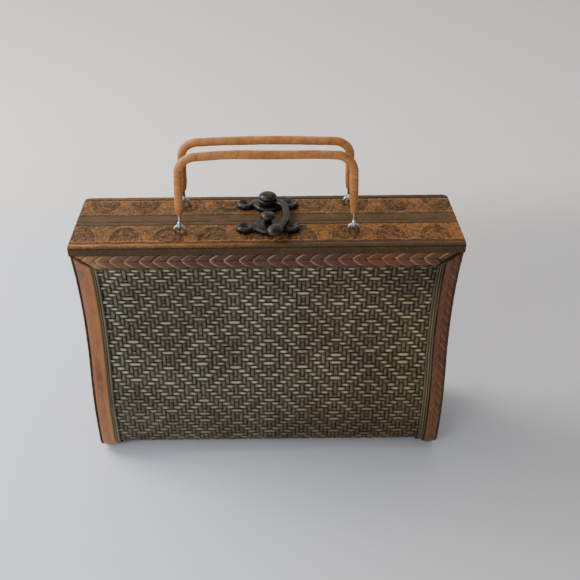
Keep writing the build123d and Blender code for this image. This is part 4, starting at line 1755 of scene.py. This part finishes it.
@dataclass(frozen=True)
class Handle:
    """The cane wound round a handle's wire. Lengths are in millimetres, the lean in degrees."""

    tray: Tray
    eye_depth: float
    lean: float
    foot: float = 44.3
    shoulder: float = 42.7
    height: float = 37.2
    arch: float = 1.0
    sag: float = 0.2
    corner: float = 9.0
    start: float = 6.0
    eye_height: float = 145.1
    radius: float = 2.3
    leg_pitch: float = 2.25
    bar_pitch: float = 6.5
    leg_length: float = 20.0
    change: float = 10.0

    def line(self, count: int) -> np.ndarray:
        """Draws the handle's line.

        Args:
            count: number of points wanted.

        Returns:
            Rows of x, height over the eyes and distance along the line, evenly spaced.
        """
        low = np.array([self.foot + (self.shoulder - self.foot) * self.start / self.height, self.start])
        turn = np.array([self.shoulder, self.height])
        down = (low - turn) / np.linalg.norm(low - turn)
        over = np.array([-self.shoulder, self.arch]) / np.hypot(self.shoulder, self.arch)
        bend = math.acos(float(np.dot(-down, over)))
        cut = self.corner * math.tan(bend / 2)
        first, last = turn + down * cut, turn + over * cut
        inward = (down + over) / np.linalg.norm(down + over)
        centre = turn + inward * self.corner / math.cos(bend / 2)
        leg = [low + (first - low) * share for share in np.linspace(0, 1, 40)]
        start = math.atan2(*(first - centre)[::-1])
        end = math.atan2(*(last - centre)[::-1])
        bends = np.linspace(start, end, 30)
        bow = [centre + self.corner * np.array([math.cos(a), math.sin(a)]) for a in bends]
        top_x = np.linspace(last[0], 0, 60)
        rise = last[1] + (self.height + self.arch - self.sag - last[1]) * (1 - (top_x / last[0]) ** 2)
        half = np.array(leg + bow[1:] + [np.array(pair) for pair in zip(top_x[1:], rise[1:])])
        whole = np.concatenate([half, half[::-1][1:] * np.array([-1, 1])])
        run = np.concatenate([[0], np.cumsum(np.linalg.norm(np.diff(whole, axis=0), axis=1))])
        even = np.linspace(0, run[-1], count)
        return np.stack([np.interp(even, run, whole[:, 0]), np.interp(even, run, whole[:, 1]), even], axis=1)

    def build(self, material: Material) -> None:
        """Builds the wrapping: a tube with crowned turns, close on the legs and long on the bar.

        Args:
            material: the cane.
        """
        tray = self.tray
        rack = Rack(1, 700, 22)
        line = self.line(rack.rows)
        run = line[:, 2]
        end_gap = np.minimum(run, run[-1] - run)
        bar = np.clip((end_gap - self.leg_length) / self.change, 0, 1)
        pitch = self.leg_pitch + (self.bar_pitch - self.leg_pitch) * bar
        turns = np.concatenate([[0], np.cumsum(np.diff(run) / pitch[1:])])
        wander = 0.35 * smooth_noise(run / 22, 711 + tray.sign) * np.clip(end_gap / 30, 0, 1)
        on_bar = bar[rack.row] > 0.5
        wound = turns[rack.row] - np.arctan2(rack.up, rack.across) / TAU
        crown = np.clip(1 - np.abs(2 * (wound % 1.0) - 1) ** 5, 0, 1)
        taper = (np.clip(end_gap / 7.0, 0, 1) ** 0.5)[rack.row]
        tip = np.clip(end_gap / 0.6, 0.35, 1)[rack.row]
        swell = 1 + 0.03 * smooth_noise(run[rack.row] / 8, 701 + tray.sign)
        radius = self.radius * (0.62 + 0.38 * taper) * swell
        radius = (radius - 0.12 + np.where(on_bar, 0.1, 0.24) * (crown - 0.75)) * tip
        side = beside(line[:, :2])[rack.row]
        lean = math.radians(self.lean)
        x = line[rack.row, 0] + side[:, 0] * radius * rack.across
        rise = line[rack.row, 1] + side[:, 1] * radius * rack.across + wander[rack.row]
        off = radius * rack.up
        y = tray.seam_y + tray.sign * self.eye_depth - math.sin(lean) * rise + math.cos(lean) * off
        z = self.eye_height + math.cos(lean) * rise + math.sin(lean) * off
        settle(rack.mesh, np.stack([x, y, z], axis=1) * MM)
        shade = np.random.default_rng(720 + tray.sign).uniform(0, 1, 400)
        write_mark(rack.mesh, Mark.TONE, shade[np.floor(wound).astype(int) % len(shade)])
        write_mark(rack.mesh, Mark.SEAM, np.clip(1.15 - crown * 1.6, 0, 1) * np.where(on_bar, 0.55, 1.0))
        hand = Finished(f"{tray.name}_handle", (f"{tray.name}_handle_wrap",), "cane_wrap")
        hand.add(f"{tray.name}_cane", rack.mesh, material)


# ---------------------------------------------------------------- the clasp


@dataclass(frozen=True)
class Head:
    """The domed head and shank of the clasp's pivot or post."""

    body: str
    node: str
    y: float
    radius: float
    shank: float
    rise: float
    foot: float = 136.2
    shoulder: float = 137.0

    def profile(self, low: float) -> list[tuple[float, float]]:
        """Draws the profile to spin.

        Args:
            low: height of the underside of the head.

        Returns:
            Radius and height of each point, from bottom to top.
        """
        points = [
            (0, self.foot), (self.shank * 0.9, self.foot), (self.shank, self.shoulder),
            (self.shank, low - 0.3), (self.shank + 0.3, low), (self.radius - 0.35, low),
            (self.radius - 0.05, low + 0.2), (self.radius, low + 0.5), (self.radius - 0.1, low + 0.8),
        ]
        for share in np.linspace(0.1, 1, 12):
            turn = share * math.pi / 2
            bulge = (self.radius - 0.15) * math.cos(turn) ** 0.7 if share < 1 else 0.0
            points.append((bulge, low + 0.8 + (self.rise - 0.8) * math.sin(turn) ** 1.1))
        return points


@dataclass(frozen=True)
class Clasp:
    """The swing clasp: two cast plates, a pivot, a post and the arm."""

    board: float = 141.0
    plate: float = 2.4
    lobe_x: float = 11.8
    arm_low: float = 143.8
    arm_thick: float = 2.5
    arm_width: float = 4.3
    head_gap: float = 0.4
    eye_radius: float = 4.85
    middle_x: float = 0.8
    pivot_y: float = 12.8
    post_y: float = -8.8
    knob: tuple[float, float] = (4.2, -21.8)
    knob_size: tuple[float, float, float] = (5.0, 4.05, 2.5)
    knob_rise: float = 2.4
    knob_turn: float = 75.0
    reach: float = 9.3
    slot: str = "aged_bronze"

    def lathe(
        self, bm: BMesh, x: float, y: float, profile: Sequence[tuple[float, float]], steps: int
    ) -> None:
        """Spins a profile round an upright line.

        Args:
            bm: where it goes.
            x: place of the line across the bag, in millimetres.
            y: place of the line in depth.
            profile: radius and height of each point, from bottom to top, both ends on the line.
            steps: number of facets round it.
        """
        verts = [bm.verts.new((x * MM + radius * MM, y * MM, z * MM)) for radius, z in profile]
        edges = [bm.edges.new(pair) for pair in zip(verts, verts[1:])]
        bmesh.ops.spin(
            bm, geom=verts + edges, cent=(x * MM, y * MM, 0), axis=(0, 0, 1), angle=TAU, steps=steps,
            use_merge=True, use_duplicate=False,
        )
        bmesh.ops.remove_doubles(bm, verts=bm.verts, dist=1e-6)
        bmesh.ops.recalc_face_normals(bm, faces=bm.faces)

    def cast_plate(self, tray: Tray, lobes: Sequence[tuple[float, float]]) -> Mesh:
        """A tray's thick cast plate, softened all round, with a dish round each sunk screw.

        Args:
            tray: the tray that it is fixed to.
            lobes: x and y of each screw.

        Returns:
            The plate.
        """
        mesh = skinned(merged_copy(f"{tray.name}_clasp_plate"), 0.22, 3)
        points = read_points(mesh) / MM
        x, y = points[:, 0], points[:, 1]
        upper = np.clip((points[:, 2] - self.board - 0.8) / 0.8, 0, 1)
        away = np.min([np.hypot(x - lobe[0], y - lobe[1]) for lobe in lobes], axis=0)
        dish = 0.12 * round_cut(away - 3.6, 0.7) - 0.22 * round_cut(away - 2.1, 0.9)
        dent = 0.07 * plane_noise(x / 1.8, y / 1.8, 801 + tray.sign)
        points[:, 2] += upper * (dish + dent)
        write_points(mesh, points * MM)
        return mesh

    def sunk_screws(self, lobes: Sequence[tuple[float, float]]) -> Mesh:
        """Makes the screws that hold a plate.

        Args:
            lobes: x and y of each screw.

        Returns:
            The screws, in place.
        """
        top = self.board + self.plate
        profile = [
            (0, 134.8), (0.9, 135.3), (1.1, 141.9), (1.9, top - 0.55), (1.7, top - 0.42), (1.2, top - 0.5),
            (0.55, top - 0.85), (0, top - 0.9),
        ]
        bm = bmesh.new()
        for x, y in lobes:
            self.lathe(bm, x, y, profile, 28)
        return to_mesh(bm, "screws")

    def plates(self, tray: Tray, metal: Material, pit: Material) -> None:
        """Builds a tray's plate and its screws.

        Args:
            tray: the tray.
            metal: finish of the plate.
            pit: finish of the screws.
        """
        name = tray.name
        low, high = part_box(f"{name}_clasp_screws")
        lobe_y = (low.y + high.y) / 2 / MM
        lobes = [(self.middle_x + side * self.lobe_x, lobe_y) for side in (-1, 1)]
        plate = Finished(tray.body, (f"{name}_clasp_plate",), self.slot)
        plate.add(f"{name}_cast_plate", self.cast_plate(tray, lobes), metal)
        screws = Finished(tray.body, (f"{name}_clasp_screws",), self.slot)
        screws.add(f"{name}_sunk_screws", self.sunk_screws(lobes), pit, 40)

    def heads(self, material: Material) -> None:
        """Builds the domed pivot and the post.

        Args:
            material: their finish.
        """
        low = self.arm_low + self.arm_thick + self.head_gap
        for head in (
            Head("back_half", "clasp_pivot", self.pivot_y, radius=5.0, shank=1.96, rise=2.8),
            Head("front_half", "clasp_post", self.post_y, radius=3.9, shank=1.9, rise=2.5),
        ):
            bm = bmesh.new()
            self.lathe(bm, self.middle_x, head.y, head.profile(low), 40)
            mesh = to_mesh(bm, head.node)
            Finished(head.body, (head.node,), self.slot).add(f"{head.node}_head", mesh, material, 70)

    def hook(self) -> Mesh:
        """Makes the rounded hook of the arm, which thins and swells from the pivot to the knob.

        Returns:
            The hook, in place.
        """
        gap = self.pivot_y - self.post_y
        marks = np.array([
            (self.middle_x + 0.5, self.pivot_y + 0.5),
            (self.middle_x + self.reach * 0.5, self.pivot_y - gap * 0.07),
            (self.middle_x + self.reach * 0.92, self.pivot_y - gap * 0.3),
            (self.middle_x + self.reach * 1.0, self.post_y + gap * 0.27),
            (self.middle_x + self.reach * 0.97, self.post_y + 0.4),
            (self.middle_x + self.reach * 0.72, self.post_y - 6.0),
            self.knob,
        ])
        rack = Rack(1, 90, 20)
        line = smooth_line(marks, rack.rows)
        side = beside(line)[rack.row]
        share = rack.share
        width = self.arm_width / 2 * (1.05 - 0.22 * np.sin(share * math.pi * 0.9) + 0.12 * share)
        across = boxy(rack.across, 0.8)
        x = line[rack.row, 0] + side[:, 0] * across * width
        y = line[rack.row, 1] + side[:, 1] * across * width
        z = self.arm_low + self.arm_thick / 2 + boxy(rack.up, 0.8) * self.arm_thick / 2
        settle(rack.mesh, np.stack([x, y, z], axis=1) * MM)
        return rack.mesh

    def arm(self, material: Material) -> None:
        """Builds the cast arm: an eye, the hook and a bulb to push.

        Args:
            material: its finish.
        """
        bm = bmesh.new()
        pour(self.hook(), bm)
        low, high, rim = self.arm_low, self.arm_low + self.arm_thick, self.eye_radius
        profile = [
            (0, low), (rim - 0.5, low), (rim, low + 0.4), (rim, high - 0.5), (rim - 0.5, high), (0, high),
        ]
        eye = bmesh.new()
        self.lathe(eye, self.middle_x, self.pivot_y, profile, 36)
        pour(to_mesh(eye, "eye"), bm)
        turn = Matrix.Rotation(math.radians(self.knob_turn), 4, "Z")
        place = Matrix.Translation(Vector((*self.knob, self.arm_low + self.knob_rise)) * MM)
        size = Matrix.Diagonal((*(part * MM for part in self.knob_size), 1))
        bulb = bmesh.ops.create_uvsphere(bm, u_segments=32, v_segments=20, radius=1)["verts"]
        bmesh.ops.transform(bm, matrix=place @ turn @ size, verts=bulb)
        Finished("clasp_arm", ("clasp_arm",), self.slot).add("cast_arm", skinned(bm, 0.2, 4), material)

    def build(self, trays: Sequence[Tray], finishes: dict[str, Material]) -> None:
        """Builds every part of the clasp.

        Args:
            trays: the front tray and the back tray.
            finishes: the mixed finishes.
        """
        metal = finishes["dark_bronze"]
        for tray in trays:
            self.plates(tray, metal, finishes["sunk_bronze"])
        self.heads(metal)
        self.arm(metal)


# ---------------------------------------------------------------- the studio


@dataclass(frozen=True)
class Lamp:
    """A large soft lamp: where it stands and looks, in metres, its size, watts and colour."""

    name: str
    place: tuple[float, float, float]
    aim: tuple[float, float, float]
    size: float
    power: float
    shade: tuple[float, float, float]

    def hang(self) -> None:
        """Hangs the lamp."""
        light = bpy.data.lights.new(self.name, "AREA")
        light.shape = "SQUARE"
        light.size = self.size
        light.energy = self.power
        light.color = self.shade
        lamp = bpy.data.objects.new(self.name, light)
        lamp.location = self.place
        lamp.rotation_euler = (Vector(self.aim) - Vector(self.place)).to_track_quat("-Z", "Y").to_euler()
        bpy.context.scene.collection.objects.link(lamp)


@dataclass(frozen=True)
class Studio:
    """A pale floor that runs up into a wall, soft light and the camera. Lengths are in metres."""

    floor_half: float = 2.5
    wall_start: float = 0.4
    wall_curve: float = 0.12
    wall_top: float = 2.2
    sky: Colour = tint(207, 214, 227)
    sky_strength: float = 0.68
    lamps: tuple[Lamp, ...] = (
        Lamp("window", (-0.85, 0.35, 0.9), (-0.05, 0, 0.07), size=0.8, power=20.0, shade=(1.0, 0.97, 0.93)),
        Lamp("front", (-0.7, -0.95, 0.8), (0, 0, 0.07), size=0.5, power=5.0, shade=(0.95, 0.97, 1.0)),
        Lamp("low_window", (-0.95, -0.42, 0.28), (0, 0, 0.1), size=0.12, power=1.6, shade=(0.97, 0.98, 1.0)),
    )
    camera_place: tuple[float, float, float] = (0.0001, -0.3752, 0.3436)
    pitch: float = 36.71
    roll: float = -0.6
    lens: float = 49.81
    sensor: float = 36.0
    nearest: float = 0.01
    shift: tuple[float, float] = (0.0381, 0.08)

    def floor(self) -> None:
        """Builds the floor, curved up at the back into a wall."""
        bend = self.wall_curve
        turns = np.linspace(0.15, math.pi / 2, 10)
        line = [(-self.floor_half, 0.0), (self.wall_start, 0.0)]
        line += [(self.wall_start + bend * math.sin(a), bend - bend * math.cos(a)) for a in turns]
        line += [(self.wall_start + bend, self.wall_top)]
        bm = bmesh.new()
        verts = [bm.verts.new((-self.floor_half, y, z)) for y, z in line]
        edges = [bm.edges.new(pair) for pair in zip(verts, verts[1:])]
        made = bmesh.ops.extrude_edge_only(bm, edges=edges)["geom"]
        moved = [part for part in made if isinstance(part, bmesh.types.BMVert)]
        bmesh.ops.translate(bm, verts=moved, vec=(2 * self.floor_half, 0, 0))
        bmesh.ops.recalc_face_normals(bm, faces=bm.faces)
        mesh = to_mesh(bm, "floor")
        mesh.materials.append(FloorFinish("pale_floor").mix())
        mesh.shade_smooth()
        floor = bpy.data.objects.new("floor", mesh)
        bpy.context.scene.collection.objects.link(floor)

    def light(self) -> None:
        """Lights the scene: an even sky, two soft lamps and a small low one for the glints."""
        world = bpy.data.worlds.new("studio")
        world.use_nodes = True
        background = world.node_tree.nodes["Background"]
        background.inputs["Color"].default_value = self.sky
        background.inputs["Strength"].default_value = self.sky_strength
        bpy.context.scene.world = world
        for lamp in self.lamps:
            lamp.hang()

    def camera(self) -> None:
        """Sets up the camera."""
        data = bpy.data.cameras.new("camera")
        data.lens = self.lens
        data.sensor_width = self.sensor
        data.shift_x, data.shift_y = self.shift
        data.clip_start = self.nearest
        camera = bpy.data.objects.new("camera", data)
        turn = Matrix.Rotation(math.radians(90 - self.pitch), 4, "X")
        roll = Matrix.Rotation(math.radians(self.roll), 4, "Z")
        camera.matrix_world = Matrix.Translation(self.camera_place) @ turn @ roll
        bpy.context.scene.collection.objects.link(camera)
        bpy.context.scene.camera = camera

    def build(self) -> None:
        """Builds the floor, the lights and the camera."""
        self.floor()
        self.light()
        self.camera()


@dataclass(frozen=True)
class Hardware:
    """CAD nodes whose shape is right already, and the finish of each by the ending of its name."""

    finishes: tuple[tuple[str, str], ...] = (
        ("_bottom_rail", "rail_wood"), ("_eye", "bright_wire"), ("_handle_wire", "bright_wire"),
        ("_hinge_leaves", "old_brass"), ("_hinge_screws", "old_brass"), ("hinge_pins", "old_brass"),
    )

    def dress(self, finishes: dict[str, Material]) -> None:
        """Gives each carried-over node its material.

        Args:
            finishes: the mixed finishes.
        """
        for name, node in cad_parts.items():
            for ending, finish in self.finishes:
                if name.endswith(ending):
                    node.data.materials.clear()
                    node.data.materials.append(finishes[finish])
                    log.info("%s dressed in %s", name, finish)


def build_tray(tray: Tray, finishes: dict[str, Material]) -> None:
    """Builds everything that is fixed to one tray, apart from its handle and the clasp.

    Args:
        tray: the tray.
        finishes: the mixed finishes.
    """
    WovenSkin(tray).build(finishes)
    trims = Trims(tray)
    trims.top_plait(finishes)
    for side in Side:
        if tray.in_front and side is Side.LEFT:
            trims.bare_strip(side, finishes["polished_bark"])
        else:
            trims.side_plait(side, finishes)
        trims.thin_strands(side, finishes["thin_strands"])
        EndBoard(tray, side).build(finishes["end_wood"])
    CarvedTop(tray).build(finishes["tooled_wood"])


def main() -> None:
    """Builds the bag piece by piece, then the studio round it."""
    logging.basicConfig(level=logging.INFO, format="%(message)s")
    finishes = mix_finishes()
    front = Tray("front", -1, edge=3.4)
    back = Tray("back", 1, edge=7.4)
    for tray in (front, back):
        build_tray(tray, finishes)
    for tray, eye_depth, lean in ((front, 12.0, 0.0), (back, 18.0, 15.0)):
        Handle(tray, eye_depth, lean).build(finishes["wrapping_cane"])
    Clasp().build((front, back), finishes)
    Hardware().dress(finishes)
    Studio().build()


if __name__ == "__main__":
    main()
